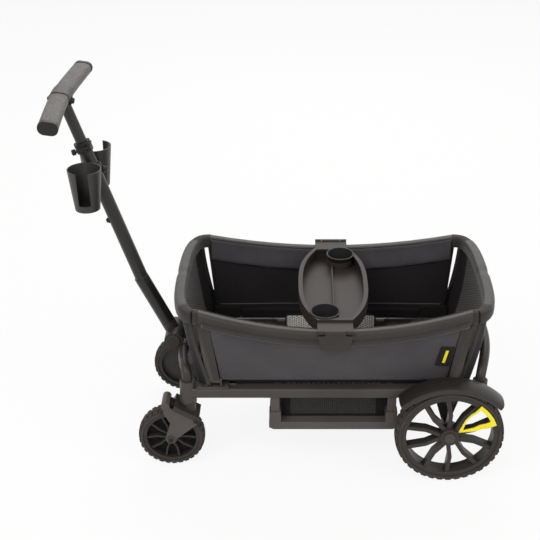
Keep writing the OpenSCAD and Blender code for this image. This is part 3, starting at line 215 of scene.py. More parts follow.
# Open knit with round holes in a hexagonal order; holes are real gaps where see is true
def meshFinish(name, colour, under, pitch, see, tight=0.1):
    f = Finish(name, Sheen_Weight=0.15, Specular_IOR_Level=0.3)
    u, v = f.uvAxes()
    slant = math.sqrt(3) / 2
    turn = 2 * math.pi / (pitch * slant)
    first, second, third = ((w * turn + math.pi / 2).sin() for w in (
        u, u * 0.5 + v * slant, u * 0.5 - v * slant))
    hole = (first + second + third).above(tight, tight + 0.65)
    knit = f.noise(1.2 / pitch, 3, 0.6, "UV")
    body = f.blend(knit.above(0.35, 0.7), shade(colour, 0.8), shade(colour, 1.2))
    f.feed(
        Base_Color=f.blend(hole, body, under),
        Roughness=0.75 + (knit - 0.5) * 0.2,
        Normal=f.bump(1 - hole, 0.5, pitch * 0.2))
    if see:
        f.feed(Alpha=1 - hole)


# Leatherette: pebbled cells, fine creases and dark rubbed streaks
def leatherFinish(name, colour, cell, rough=0.55, streak=0.0):
    f = Finish(name, Specular_IOR_Level=0.4, Sheen_Weight=0.08)
    pebble = f.cells(1 / cell, "DISTANCE_TO_EDGE")
    crease = f.noise(60, 5, 0.65)
    cloud = f.noise(12, 3, 0.5)
    body = f.blend(cloud.above(0.3, 0.7), shade(colour, 0.86), shade(colour, 1.14))
    body = f.blend(1 - pebble.above(0.02, 0.22), body, shade(colour, 0.6))
    rub = f.noise(130, 5, 0.65, stretch=(1, 0.22, 1)).above(0.42, 0.66)
    body = f.blend(rub * streak, body, shade(colour, 0.42))
    f.feed(
        Base_Color=body,
        Roughness=rough + (crease - 0.5) * 0.25,
        Normal=f.bump(pebble.above(0, 0.3) + crease * 0.5, 0.4, cell * 0.3))


def foamFinish(name, colour):
    f = Finish(name, Specular_IOR_Level=0.25)
    pore = f.cells(420)
    cloud = f.noise(14, 4, 0.6)
    dust = f.noise(55, 5, 0.7).above(0.52, 0.75)
    body = f.blend(cloud.above(0.3, 0.7), shade(colour, 0.8), shade(colour, 1.2))
    body = f.blend(dust * 0.3, body, shade(colour, 2.2))
    f.feed(Base_Color=body, Roughness=0.82 + (cloud - 0.5) * 0.2,
           Normal=f.bump(pore + cloud, 0.35, 0.4 * mm))


def metalFinish(name, colour, rough):
    f = Finish(name, Metallic=1.0)
    brush = f.noise(300, 3, 0.6, stretch=(1, 1, 0.08))
    body = f.blend(brush.above(0.3, 0.7), shade(colour, 0.8), shade(colour, 1.1))
    f.feed(Base_Color=body, Roughness=rough + (brush - 0.5) * 0.25,
           Normal=f.bump(brush, 0.15, 0.1 * mm))


skinFinish("frameCoat", tone(50, 46, 43), 0.40, 900, 0.12 * mm, wear=0.10)
# The next two are lighter copies of the frame coat: painted light on the rails, hinge brackets, post shoes and well
# frame, whose tops face the light
skinFinish("railCoat", tone(66, 61, 58), 0.40, 900, 0.12 * mm, wear=0.10)
skinFinish("wellCoatPaintedLight", tone(80, 74, 71), 0.42, 900, 0.12 * mm, wear=0.10)
# A darker copy of the frame coat: painted shade on the handle tubes, whose sides face away from the light
skinFinish("tubeCoatPaintedShade", tone(32, 29, 27), 0.32, 900, 0.10 * mm, wear=0.12, gloss=0.4)
skinFinish("trayPlastic", tone(52, 46, 43), 0.46, 1300, 0.10 * mm, gloss=0.2)
skinFinish("blackPlastic", tone(34, 31, 30), 0.46, 1100, 0.14 * mm)
skinFinish("cupPlastic", tone(52, 49, 48), 0.42, 1100, 0.12 * mm, gloss=0.4)
skinFinish("fenderPlastic", tone(40, 36, 34), 0.36, 1000, 0.12 * mm, gloss=0.4)
skinFinish("greyPlastic", tone(70, 65, 62), 0.5, 1100, 0.12 * mm)
skinFinish("wheelPlastic", tone(50, 46, 43), 0.45, 800, 0.16 * mm, wear=0.15)
skinFinish("forkPlastic", tone(80, 75, 72), 0.42, 900, 0.14 * mm, wear=0.1)
skinFinish("yellowPlastic", tone(245, 228, 45), 0.42, 900, 0.1 * mm, drift=0.05)
skinFinish("elastomer", tone(22, 20, 20), 0.72, 600, 0.2 * mm, gloss=0.2)
foamFinish("tyreFoam", tone(64, 59, 56))
clothFinish("slateCloth", tone(68, 65, 68), 1.1 * mm)
clothFinish("wrapCloth", tone(50, 46, 44), 1.3 * mm)
clothFinish("blackCloth", tone(25, 22, 22), 1.3 * mm, sheen=0.06)
clothFinish("webbing", tone(30, 28, 28), 2.6 * mm, contrast=0.5, sheen=0.1)
meshFinish("greyKnit", tone(84, 81, 78), tone(14, 13, 13), 8.4 * mm, False)
meshFinish("paleKnit", tone(236, 233, 226), tone(62, 59, 57), 7.8 * mm, False, 0.8)
meshFinish("openKnit", tone(58, 56, 54), tone(20, 20, 20), 6.2 * mm, True)
leatherFinish("padLeather", tone(74, 71, 69), 2.6 * mm)
leatherFinish("gripLeather", tone(94, 89, 85), 2.2 * mm, streak=0.6)
leatherFinish("padCloth", tone(34, 32, 32), 1.6 * mm, 0.7)
metalFinish("steel", tone(172, 170, 168), 0.32)
print("finishes ready:", len(finishes))

# Camera: fitted to the photograph's viewpoint, with the frame taken as 540 by 540
cameraSpec = {"lens": 73.08, "sensor": 36, "place": (0.0422, -2.6483, 1.8988), "tilt": 62.09,
              "shiftX": -0.05654, "shiftY": 0.00454}
cameraData = bpy.data.cameras.new("camera")
cameraData.lens = cameraSpec["lens"]
cameraData.sensor_width = cameraSpec["sensor"]
cameraData.shift_x = cameraSpec["shiftX"]
cameraData.shift_y = cameraSpec["shiftY"]
camera = bpy.data.objects.new("camera", cameraData)
camera.location = cameraSpec["place"]
camera.rotation_euler = (math.radians(cameraSpec["tilt"]), 0, 0)
scene.collection.objects.link(camera)
scene.camera = camera
scene.view_settings.view_transform = "Standard"

# Soft studio: a pale floor, a white surround and three large lamps
studioSpec = {"floorSize": 14, "floorTone": 0.93, "floorGlow": 0.88, "worldLight": 0.5,
              "worldTone": (1, 0.985, 0.97, 1)}
white = (1, 1, 1, 1)
lampSpecs = [
    {"name": "keyLamp", "place": (-1.6, -2.6, 3.4), "aim": (0.1, 0, 0.3), "size": 2.6, "watts": 74},
    {"name": "fillLamp", "place": (2.8, -2.0, 2.6), "aim": (0.1, 0, 0.3), "size": 2.8, "watts": 40},
    {"name": "backLamp", "place": (0.3, 3.0, 3.2), "aim": (0.1, 0, 0.4), "size": 3.0, "watts": 62},
]
for spec in lampSpecs:
    data = bpy.data.lights.new(spec["name"], "AREA")
    data.energy = spec["watts"]
    data.size = spec["size"]
    lamp = bpy.data.objects.new(spec["name"], data)
    lamp.location = spec["place"]
    towards = Vector(spec["aim"]) - Vector(spec["place"])
    lamp.rotation_euler = towards.to_track_quat("-Z", "Y").to_euler()
    scene.collection.objects.link(lamp)


# Rays that reach the eye see white; the rest see the softer light
def seenWhite(tree):
    path = addNode(tree, "LightPath").out.node
    seen, mirrored, through = (Sock(tree, path.outputs["Is %s Ray" % k]) for k in (
        "Camera", "Glossy", "Transmission"))
    return seen.calc("MAXIMUM", seen.calc("MAXIMUM", seen, mirrored), through)


world = bpy.data.worlds.new("studio")
world.use_nodes = True
scene.world = world
sky = world.node_tree
plainSky = sky.nodes["Background"]
plainSky.inputs["Color"].default_value = studioSpec["worldTone"]
plainSky.inputs["Strength"].default_value = studioSpec["worldLight"]
whiteSky = addNode(sky, "Background", sockets={"Color": white, "Strength": 1})
skyMix = addNode(sky, "MixShader", sockets={0: seenWhite(sky), 1: Sock(sky, plainSky.outputs[0]), 2: whiteSky})
plug(sky, sky.nodes["World Output"].inputs[0], skyMix)

floorMesh = bpy.data.meshes.new("floor")
bm = bmesh.new()
bmesh.ops.create_grid(bm, x_segments=1, y_segments=1, size=studioSpec["floorSize"])
bm.to_mesh(floorMesh)
bm.free()
floor = bpy.data.objects.new("floor", floorMesh)
scene.collection.objects.link(floor)
f = Finish("paleFloor", Roughness=0.9, Specular_IOR_Level=0.0)
pale = studioSpec["floorTone"]
f.feed(Base_Color=f.blend(f.noise(0.8, 2), (pale, pale, pale, 1), (pale * 0.99, pale * 0.985, pale * 0.98, 1)))
glow = f.node("Emission", sockets={"Color": white, "Strength": 1.0})
cover = f.node("MixShader", sockets={
    0: seenWhite(f.tree) * studioSpec["floorGlow"], 1: Sock(f.tree, f.shader.outputs[0]), 2: glow})
plug(f.tree, f.tree.nodes["Material Output"].inputs[0], cover)
floorMesh.materials.append(f.material)
print("camera, lamps and floor ready")


def pairs(*stems):
    return ["%s_%s" % (stem, side) for stem in stems for side in sideOf]


# Solids that show as they are: merged, edges softened, and coated
coatOf = {
    "frameCoat": ["pivot_button", "handle_hub", "front_crossbar", "rear_crossbar", "handle_yoke", "rear_axle"]
    + pairs("wall_posts", "rim", "latch", "caster"),
    # The rails and hinge brackets take a lighter copy of the frame coat: painted light
    "railCoat": ["hinge_brackets"] + pairs("rail"),
    # The well frame takes a lighter copy of the frame coat: painted light
    "wellCoatPaintedLight": ["well_frame"],
    # The handle tubes take a darker copy of the frame coat: painted shade
    "tubeCoatPaintedShade": ["handle_lower", "handle_upper"],
    "fenderPlastic": pairs("fender"),
    "cupPlastic": pairs("cup"),
    "trayPlastic": ["tray"],
    "forkPlastic": pairs("fork"),
    "wheelPlastic": pairs("front_rim", "rear_rim"),
    "tyreFoam": pairs("front_tyre", "rear_tyre"),
    "blackPlastic": ["brake_pedal", "well_floor", "seat_boards",
                     "telescope_collar", "collar_knob", "cup_clamp", "grip_caps"],
    "greyPlastic": ["grip_clamp"] + pairs("hub_button"),
    "steel": ["hinge_pins"],
    "elastomer": pairs("fork_spring"),
}
edgeOf = {"rail": 1.2 * mm, "tray": 1.6 * mm, "wall_posts": 2.2 * mm, "cup": 1 * mm, "rear_rim": 1.6 * mm,
          "front_rim": 1 * mm, "fork": 1.2 * mm, "caster": 1.2 * mm, "latch": 1.2 * mm, "rear_tyre": 1.2 * mm,
          "front_tyre": 0.9 * mm, "well_frame": 1.6 * mm, "fender": 1 * mm}
softenSpec = {"weld": 0.02 * mm, "flat": 1.2, "sharp": 35, "edge": 0.8 * mm}


def modify(piece, kind, **settings):
    step = piece.modifiers.new(kind.lower(), kind)
    for key, value in settings.items():
        setattr(step, key, value)


def soften(piece, width):
    modify(piece, "WELD", merge_threshold=softenSpec["weld"])
    modify(piece, "DECIMATE", decimate_type="DISSOLVE", angle_limit=math.radians(softenSpec["flat"]),
           delimit={"MATERIAL"})
    modify(piece, "BEVEL", width=width, segments=2, limit_method="ANGLE",
           angle_limit=math.radians(softenSpec["sharp"]), miter_outer="MITER_ARC", profile=0.5)
    modify(piece, "WEIGHTED_NORMAL", keep_sharp=False)
    mesh = piece.data
    for kind in ("custom_normal", "sharp_face", "sharp_edge"):
        found = mesh.attributes.get(kind)
        if found:
            mesh.attributes.remove(found)
    mesh.polygons.foreach_set("use_smooth", [True] * len(mesh.polygons))


for finish, names in coatOf.items():
    for name in names:
        solid = nodes[name]
        solid.data.materials.clear()
        solid.data.materials.append(finishes[finish])
        stem = name.removesuffix("_left").removesuffix("_right")
        soften(solid, edgeOf.get(stem, softenSpec["edge"]))

# The thin webs sunk between the front wheels' spokes take a dark finish: painted shade in the recesses between the
# spokes
webShadeSpec = {"half": 2.6 * mm, "from": 16 * mm, "to": 68 * mm, "facing": 0.9}
for side in sideOf:
    low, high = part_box("front_rim_" + side)
    mid = (low + high) / 2
    mesh = nodes["front_rim_" + side].data
    mesh.materials.append(finishes["elastomer"])
    for face in mesh.polygons:
        at = face.center
        reach = math.hypot(at.x - mid.x, at.z - mid.z)
        inShadedWeb = abs(at.y - mid.y) < webShadeSpec["half"] and webShadeSpec["from"] < reach < webShadeSpec["to"]
        if inShadedWeb and abs(face.normal.y) > webShadeSpec["facing"]:
            # dark finish on the sunk web: painted shade
            face.material_index = 1
print("solids coated")


# Makers of new pieces
def newPiece(name, bm, finish, body):
    mesh = bpy.data.meshes.new(name)
    bm.to_mesh(mesh)
    bm.free()
    for key in [finish] if isinstance(finish, str) else finish:
        mesh.materials.append(finishes[key])
    mesh.polygons.foreach_set("use_smooth", [True] * len(mesh.polygons))
    piece = bpy.data.objects.new(name, mesh)
    scene.collection.objects.link(piece)
    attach(piece, body)
    return piece


# A grid whose UV map is in metres; place takes u from -1 to 1 across and t from 0 to 1 up
def sheetGrid(spec, place):
    columns, rows = spec["grid"]
    wide, tall = spec["map"]
    bm = bmesh.new()
    bmesh.ops.create_grid(bm, x_segments=columns, y_segments=rows, size=1)
    uv = bm.loops.layers.uv.new("UVMap")
    for face in bm.faces:
        for loop in face.loops:
            at = loop.vert.co
            loop[uv].uv = ((at.x + 1) / 2 * wide, (at.y + 1) / 2 * tall)
    for v in bm.verts:
        v.co = place(v.co.x, (v.co.y + 1) / 2)
    return bm


def joinSeam(bm):
    bmesh.ops.remove_doubles(bm, verts=bm.verts, dist=0.001 * mm)


# Closes a form's open ends and turns its faces outwards
def closeEnds(bm):
    bmesh.ops.holes_fill(bm, edges=[d for d in bm.edges if d.is_boundary])
    bmesh.ops.recalc_face_normals(bm, faces=bm.faces)


# A closed band: place takes how far along it and how far around it, both from 0 to 1
def tubeGrid(spec, place):
    bm = sheetGrid(spec, lambda u, t: place((u + 1) / 2, t))
    joinSeam(bm)
    closeEnds(bm)
    return bm


# The second finish goes on the faces that a rule picks, by their middle and their share of the UV map's size
def paintFaces(bm, rule, size=None):
    uv = bm.loops.layers.uv.active
    for face in bm.faces:
        corners = [loop[uv].uv for loop in face.loops] if size else []
        share = [sum(c[i] for c in corners) / len(corners) / size[i] for i in (0, 1)] if size else None
        face.material_index = 1 if rule(face.calc_center_median(), share) else 0


# The cut of a sheet before it is hung: its longest row, its longest column and its area
def cutOf(place, columns=80, rows=24):
    net = [[place(mix(-1, 1, i / columns), j / rows) for i in range(columns + 1)] for j in range(rows + 1)]
    wide = max(sum((row[i + 1] - row[i]).length for i in range(columns)) for row in net)
    long = max(sum((net[j + 1][i] - net[j][i]).length for j in range(rows)) for i in range(columns + 1))
    area = sum((net[j + 1][i + 1] - net[j][i]).cross(net[j + 1][i] - net[j][i + 1]).length / 2
               for j in range(rows) for i in range(columns))
    return wide, long, min(area, wide * long)


def thicken(piece, thickness):
    modify(piece, "SOLIDIFY", thickness=thickness, offset=0)
    return piece


# A sheet from its own dictionary, which gives its grid, the size of its UV map and its thickness
def newSheet(name, spec, place, finish="blackCloth", body="chassis", rule=None):
    bm = sheetGrid(spec, place)
    if rule:
        paintFaces(bm, rule, spec["map"])
    if spec.get("joined"):
        joinSeam(bm)
    piece = thicken(newPiece(name, bm, finish, body), spec["thick"])
    wide, long, area = cutOf(place)
    print("sheet %s: %.0f by %.0f mm" % (piece.name, wide / mm, long / mm))
    return piece


# A block, with all its edges rounded where a corner is given
def block(bm, at, size, corner=0, segments=2):
    made = bmesh.ops.create_cube(bm, size=1, matrix=Matrix.Translation(at) @ Matrix.Diagonal((*size, 1)))
    if corner:
        edges = list(dict.fromkeys(d for v in made["verts"] for d in v.link_edges))
        bmesh.ops.bevel(bm, geom=edges, offset=corner, segments=segments, profile=0.5, affect="EDGES", material=-1)


# A turned form: radius and height pairs, first and last near the axis, set in place by a matrix
def lathe(bm, profile, steps, where):
    line = [bm.verts.new(where @ Vector((r, 0, z))) for r, z in profile]
    edges = [bm.edges.new(ends) for ends in zip(line, line[1:])]
    bmesh.ops.spin(bm, geom=line + edges, cent=where.translation, axis=where.col[2].xyz, angle=2 * math.pi,
                   steps=steps, use_merge=True)
    closeEnds(bm)


# A socket-headed bolt on a washer, standing along the way given
def boltHead(bm, at, way, r, tall):
    where = Matrix.Translation(at) @ way.to_track_quat("Z", "Y").to_matrix().to_4x4()
    lathe(bm, [(0.1 * r, -0.4 * tall), (1.42 * r, -0.4 * tall), (1.42 * r, 0.12 * tall), (1.34 * r, 0.22 * tall),
               (1.04 * r, 0.22 * tall), (r, 0.3 * tall), (r, 0.88 * tall), (0.88 * r, tall), (0.62 * r, tall),
               (0.56 * r, 0.5 * tall), (0.1 * r, 0.45 * tall)], 24, where)


# A point of a rounded oblong section, a once around
def oblong(wide, tall, a, power):
    c = math.cos(2 * math.pi * a)
    s = math.sin(2 * math.pi * a)
    return (math.copysign(abs(c) ** (2 / power), c) * wide / 2,
            math.copysign(abs(s) ** (2 / power), s) * tall / 2)


# Basket lines taken from the frame; places count from the wagon's own middle
rimLow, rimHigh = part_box("rim_right")
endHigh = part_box("end_rim_rear")[1]
panelLow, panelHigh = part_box("side_panel_right")
basket = {"rimWide": 31 * mm, "rimTall": 34 * mm, "midTop": 456 * mm, "endPower": 3, "panelFoot": 302.6 * mm,
          "hingeY": 185 * mm, "railTop": 248 * mm, "wallFoot": 258 * mm}
rimHalf = (rimHigh.x - rimLow.x) / 2
endDepth = endHigh.x - midX - rimHalf - basket["rimWide"] / 2
endWide = endHigh.y - basket["rimWide"] / 2
endZ = endHigh.z - basket["rimTall"] / 2
panelTop = (panelHigh.x - panelLow.x) / 2


def rimLine(x):
    share = (x / rimHalf) ** 2
    return (mix(rimHigh.y, endHigh.y, share) - basket["rimWide"] / 2,
            mix(basket["midTop"], rimHigh.z, share) - basket["rimTall"] / 2)


def endLine(y):
    return rimHalf + endDepth * max(0, 1 - abs(y / endWide) ** basket["endPower"]) ** (1 / basket["endPower"])


def wallLine(x, z):
    y, top = rimLine(x)
    foot = basket["wallFoot"]
    return mix(basket["hingeY"], y, (z - foot) / (top - basket["rimTall"] / 2 - foot))


# Side walls: stretched slate cloth outside, a dark lining inside with a loose slate flap under the rim
wallSpec = {"grid": (72, 26), "crown": 5 * mm, "thick": 2.4 * mm, "foot": 270 * mm, "under": 17.6 * mm}
wallSpec["map"] = (2 * panelTop, rimHigh.z - wallSpec["foot"] - basket["rimTall"])
liningSpec = {"grid": (70, 22), "map": (0.68, 0.18), "in": 12.6 * mm, "foot": 257 * mm, "under": 12 * mm,
              "lowHalf": 338 * mm, "topHalf": 355 * mm, "thick": 1.6 * mm, "sag": 2.2 * mm, "folds": 9,
              "notch": 27 * mm, "notchFrom": 278 * mm, "notchTo": 296 * mm}
flapSpec = {"grid": (110, 8), "map": (0.69, 0.05), "half": 348 * mm, "rise": 12.5 * mm, "drop": 60 * mm,
            "off": 1.2 * mm, "clear": 5.5 * mm, "thick": 1.4 * mm, "ripple": 1.7 * mm, "hemRipple": 1.5 * mm,
            "waves": (17, 29)}
cuffSpec = {"grid": (70, 5), "map": (0.69, 0.03), "half": 344 * mm, "high": 4 * mm, "low": 29 * mm, "in": 4.5 * mm,
            "out": 16.2 * mm, "roll": 0.75 * mm, "thick": 1.6 * mm}
weltSpec = {"grid": (40, 4), "map": (0.58, 0.018), "half": 264 * mm, "foot": {"left": 249 * mm, "right": 254 * mm},
            "top": 284 * mm, "in": 15.4 * mm, "bow": 1.4 * mm, "thick": 2 * mm}
liningRodSpec = {"grid": (120, 10), "map": (0.65, 0.012), "half": 326 * mm, "z": 296 * mm, "wide": 3.4 * mm,
                 "tall": 4.2 * mm}
pipingSpec = {"grid": (110, 10), "map": (0.7, 0.012), "wide": 4 * mm, "in": 12.6 * mm, "rise": 14.2 * mm,
              "reach": 0.985}


def crownOf(u, t):
    return wallSpec["crown"] * 4 * t * (1 - t) * (1 - u ** 4)


for side, s in sideOf.items():
    body = "wall_" + side

    def wallPlace(u, t):
        x = u * mix(basket["panelFoot"], panelTop, t)
        y, z = rimLine(x)
        return Vector((x + midX, s * (mix(basket["hingeY"], y, t) + crownOf(u, t)),
                       mix(wallSpec["foot"], z - wallSpec["under"], t)))

    # The lining's foot rises over the hinge brackets
    def liningPlace(u, t):
        x = u * mix(liningSpec["lowHalf"], liningSpec["topHalf"], t)
        top = rimLine(x)[1] - liningSpec["under"]
        atHinge = ease(liningSpec["notchFrom"], liningSpec["notchTo"], abs(u) * liningSpec["lowHalf"])
        z = mix(liningSpec["foot"] + liningSpec["notch"] * atHinge, top, t)
        fold = math.sin(u * liningSpec["folds"] + 1.2 * s) * math.sin(t * 3.1) * (1 - u ** 6)
        return Vector((x + midX, s * (wallLine(x, z) - liningSpec["in"] - liningSpec["sag"] * fold * fold), z))

    def flapPlace(u, t):
        x = u * flapSpec["half"]
        y, top = rimLine(x)
        hang = (1 - t) ** 2
        slow, quick = flapSpec["waves"]
        wave = math.sin(u * slow + s) + 0.6 * math.sin(u * quick + 2 * s)
        inner = y - basket["rimWide"] / 2 - flapSpec["off"]
        low = top + flapSpec["rise"] - flapSpec["drop"]
        lower = wallLine(x, low) - liningSpec["in"] - flapSpec["clear"]
        hung = min(inner, mix(inner, lower, ease(0.1, 1, 1 - t)))
        return Vector((x + midX, s * (hung - flapSpec["ripple"] * hang * wave),
                       mix(low, top + flapSpec["rise"], t) + flapSpec["hemRipple"] * hang * wave))

    def cuffPlace(u, t):
        x = u * cuffSpec["half"]
        y, top = rimLine(x)
        roll = math.sin(math.pi * t) * cuffSpec["roll"]
        return Vector((x + midX, s * (y + mix(cuffSpec["in"], cuffSpec["out"], t ** 0.6) + roll),
                       top - mix(cuffSpec["low"], cuffSpec["high"], t)))

    def weltPlace(u, t):
        bow = weltSpec["bow"] * math.sin(math.pi * t)
        return Vector((u * weltSpec["half"] + midX, s * (basket["hingeY"] - weltSpec["in"] + bow),
                       mix(weltSpec["foot"][side], weltSpec["top"], t)))

    def liningRodPlace(along, a):
        x = mix(-1, 1, along) * liningRodSpec["half"]
        o, z = oblong(liningRodSpec["wide"], liningRodSpec["tall"], a, 2)
        u = x / liningSpec["lowHalf"]
        foot, top = liningPlace(u, 0).z, liningPlace(u, 1).z
        at = liningPlace(u, (liningRodSpec["z"] - foot) / (top - foot))
        return Vector((x + midX, at.y - s * (liningRodSpec["wide"] / 2 - o), at.z + z))

    def pipingPlace(along, a):
        x = mix(-1, 1, along) * pipingSpec["reach"] * rimHalf
        y, top = rimLine(x)
        o, z = oblong(pipingSpec["wide"], pipingSpec["wide"], a, 2)
        return Vector((x + midX, s * (y - pipingSpec["in"] + o), top + pipingSpec["rise"] + z))

    wallCloth = newSheet("wallCloth." + side, wallSpec, wallPlace,
                         "slateCloth", body)
    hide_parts("side_panel_" + side)
    newSheet("wallLining." + side, liningSpec, liningPlace, body=body)
    newSheet("wallFlap." + side, flapSpec, flapPlace, "slateCloth", body)
    newSheet("rimCuff." + side, cuffSpec, cuffPlace, "wrapCloth", body)
    newSheet("wallWelt." + side, weltSpec, weltPlace, body=body)
    newPiece("liningRod." + side, tubeGrid(liningRodSpec, liningRodPlace), "greyPlastic", body)
    newPiece("rimPiping." + side, tubeGrid(pipingSpec, pipingPlace), "wrapCloth", body)
print("side walls ready")

# Basket ends: cloth backs that curve round, gussets in the corners, a padded roll over the rim
endSpec = {"grid": (64, 26), "footY": 191.7 * mm, "topY": 214 * mm, "foot": 360.5 * mm, "bow": 11.5 * mm,
           "low": 249 * mm, "bulge": {"front": 7 * mm, "rear": 20 * mm}, "thick": 3 * mm, "knit": 0.84, "hem": 0.1,
           "turned": 0.88, "return": 27 * mm}
endSpec["map"] = (2 * endSpec["topY"], 0.22)
endTop = endZ - basket["rimTall"] / 2 - 1 * mm
rollSpec = {"grid": (140, 36), "map": (0.52, 0.12), "wide": 33 * mm, "tall": 37 * mm, "power": 3.4, "turn": 54,
            "darkFrom": 0.325, "darkTo": 0.68, "seam": 0.011, "seamDeep": 0.11, "tip": 0.035, "tipDeep": 0.1}
wrapSpec = {"grid": (30, 24), "map": (0.14, 0.11), "wide": 31.6 * mm, "tall": 34.6 * mm, "power": 3.6, "turn": 90,
            "lap": 2}
staySpec = {"grid": (24, 20), "map": (0.22, 0.03), "wide": 10 * mm, "deep": 5 * mm, "in": 2 * mm, "ends": 0.015}
gussetSpec = {"grid": (14, 20), "map": (0.05, 0.1), "low": 257 * mm, "high": 352 * mm, "dip": 12 * mm,
              "lap": 5 * mm, "off": 2 * mm, "sag": 5 * mm, "seam": 0.97, "thick": 1.4 * mm}


def backLine(y, t):
    return mix(endSpec["foot"] + endSpec["bow"] * (1 - (y / endSpec["footY"]) ** 2), endLine(y), t)


# The cloth's edges turn back towards the wall posts, most of all low down
def edgeTurn(u, t):
    return ease(endSpec["turned"], 1, abs(u)) * endSpec["return"] * (1 - t)


def padPinch(along):
    seam = math.exp(-((along - 0.5) / rollSpec["seam"]) ** 2) * rollSpec["seamDeep"]
    return seam + rollSpec["tipDeep"] * (1 - ease(0, rollSpec["tip"], along) * ease(0, rollSpec["tip"], 1 - along))


for end, e in endOf.items():
    # A roll along the end's rim, from one turn in degrees to another
    def rollPlace(low, high, spec, pinch):
        def place(along, a):
            turn = math.radians(mix(low, high, along))
            y = math.copysign(abs(math.sin(turn)) ** (2 / basket["endPower"]), turn) * endWide
            ahead = Vector((endLine(y + 0.2 * mm) - endLine(y - 0.2 * mm), 0.4 * mm, 0))
            if abs(y) > endWide - 1 * mm:
                ahead = Vector((-math.copysign(1, y), 0.001, 0)) * math.copysign(1, turn)
            out = Vector((ahead.y, -ahead.x, 0)).normalized()
            press = 1 - pinch(along)
            o, z = oblong(spec["wide"] * press, spec["tall"] * press, a, spec["power"])
            at = Vector((endLine(y), y, endZ)) + out * o + Vector((0, 0, z))
            return Vector((e * at.x + midX, at.y, at.z))
        return place

    def backPlace(u, t):
        y = u * mix(endSpec["footY"], endSpec["topY"], t)
        x = backLine(y, t) + endSpec["bulge"][end] * math.sin(math.pi * t) * (1 - u ** 2) - edgeTurn(u, t)
        return Vector((e * x + midX, y, mix(endSpec["low"], endTop, t)))

    def inKnit(at, share):
        t = (at.z - endSpec["low"]) / (endZ - endSpec["low"])
        return abs(at.y) < endSpec["knit"] * mix(endSpec["footY"], endSpec["topY"], t) and t > endSpec["hem"]

    turn = rollSpec["turn"]
    bm = tubeGrid(rollSpec, rollPlace(-turn, turn, rollSpec, padPinch))
    paintFaces(bm, lambda at, share: rollSpec["darkFrom"] < share[1] < rollSpec["darkTo"], rollSpec["map"])
    endPad = newPiece("endPad." + end, bm, ["padLeather", "wrapCloth"], "chassis")
    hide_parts("end_rim_" + end)
    pressed = [endPad]
    for side, s in sideOf.items():
        wrap = rollPlace(s * (turn - wrapSpec["lap"]), s * wrapSpec["turn"], wrapSpec, lambda along: 0)
        pressed.append(newPiece("endWrap.%s.%s" % (end, side), tubeGrid(wrapSpec, wrap),
                                "wrapCloth", "chassis"))
    endCloth = newSheet("endCloth." + end, endSpec, backPlace,
                        ["blackCloth", "greyKnit"], rule=inKnit)
    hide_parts("end_panel_" + end)
    pressed.append(endCloth)
    for side, s in sideOf.items():
        def stayPlace(along, a):
            o, d = oblong(staySpec["wide"], staySpec["deep"], a, 4)
            at = backPlace(s, mix(staySpec["ends"], 1 - staySpec["ends"], along))
            return Vector((at.x - e * (staySpec["in"] - o), at.y + d, at.z))

        def gussetPlace(u, t):
            z = mix(gussetSpec["low"], gussetSpec["high"] - gussetSpec["dip"] * (1 - u * u), t)
            share = (z - liningSpec["foot"]) / (rimHigh.z - basket["rimTall"] / 2 - liningSpec["under"]
                                                - liningSpec["foot"])
            x = mix(liningSpec["lowHalf"], liningSpec["topHalf"], share) - gussetSpec["lap"]
            wall = Vector((x, wallLine(x, z) - liningSpec["in"] - gussetSpec["off"], z))
            share = (z - endSpec["low"]) / (endTop - endSpec["low"])
            y = mix(endSpec["footY"], endSpec["topY"], share) - gussetSpec["lap"]
            back = backLine(y, share) - edgeTurn(gussetSpec["seam"], share) - gussetSpec["off"]
            at = wall.lerp(Vector((back, y, z)), (u + 1) / 2)
            pull = gussetSpec["sag"] * (1 - u * u)
            return Vector((e * (at.x - pull) + midX, s * (at.y - pull), z))

        pressed.append(newPiece("endStay.%s.%s" % (end, side), tubeGrid(staySpec, stayPlace),
                                "frameCoat", "chassis"))
        pressed.append(newSheet("cornerGusset.%s.%s" % (end, side), gussetSpec, gussetPlace))
    for piece in pressed:
        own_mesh(piece)
print("basket ends ready")

# Seat pads: thin boxes blown up as cloth, then sewn across in two channels
padSpec = {"wide": 195 * mm, "deep": 310 * mm, "tall": 12 * mm, "corner": 18 * mm, "voxel": 5 * mm, "cap": 6 * mm,
           "pressure": 4, "frames": 20, "channel": 0.33, "sewn": 4 * mm, "reach": 7 * mm}


def blowUp(piece, cap):
    was = [v.co.copy() for v in piece.data.vertices]
    cloth = piece.modifiers.new("cloth", "CLOTH")
    cloth.settings.use_pressure = True
    cloth.settings.uniform_pressure_force = padSpec["pressure"]
    cloth.settings.effector_weights.gravity = 0
    cloth.point_cache.frame_start = 1
    cloth.point_cache.frame_end = padSpec["frames"]
    for step in range(1, padSpec["frames"] + 1):
        scene.frame_set(step)
    blown = piece.evaluated_get(bpy.context.evaluated_depsgraph_get())
    now = [v.co.copy() for v in blown.data.vertices]
    piece.modifiers.remove(cloth)
    scene.frame_set(1)
    for v, a, b in zip(piece.data.vertices, was, now):
        move = b - a
        v.co = a + move * min(1, cap / max(move.length, 0.001 * mm))


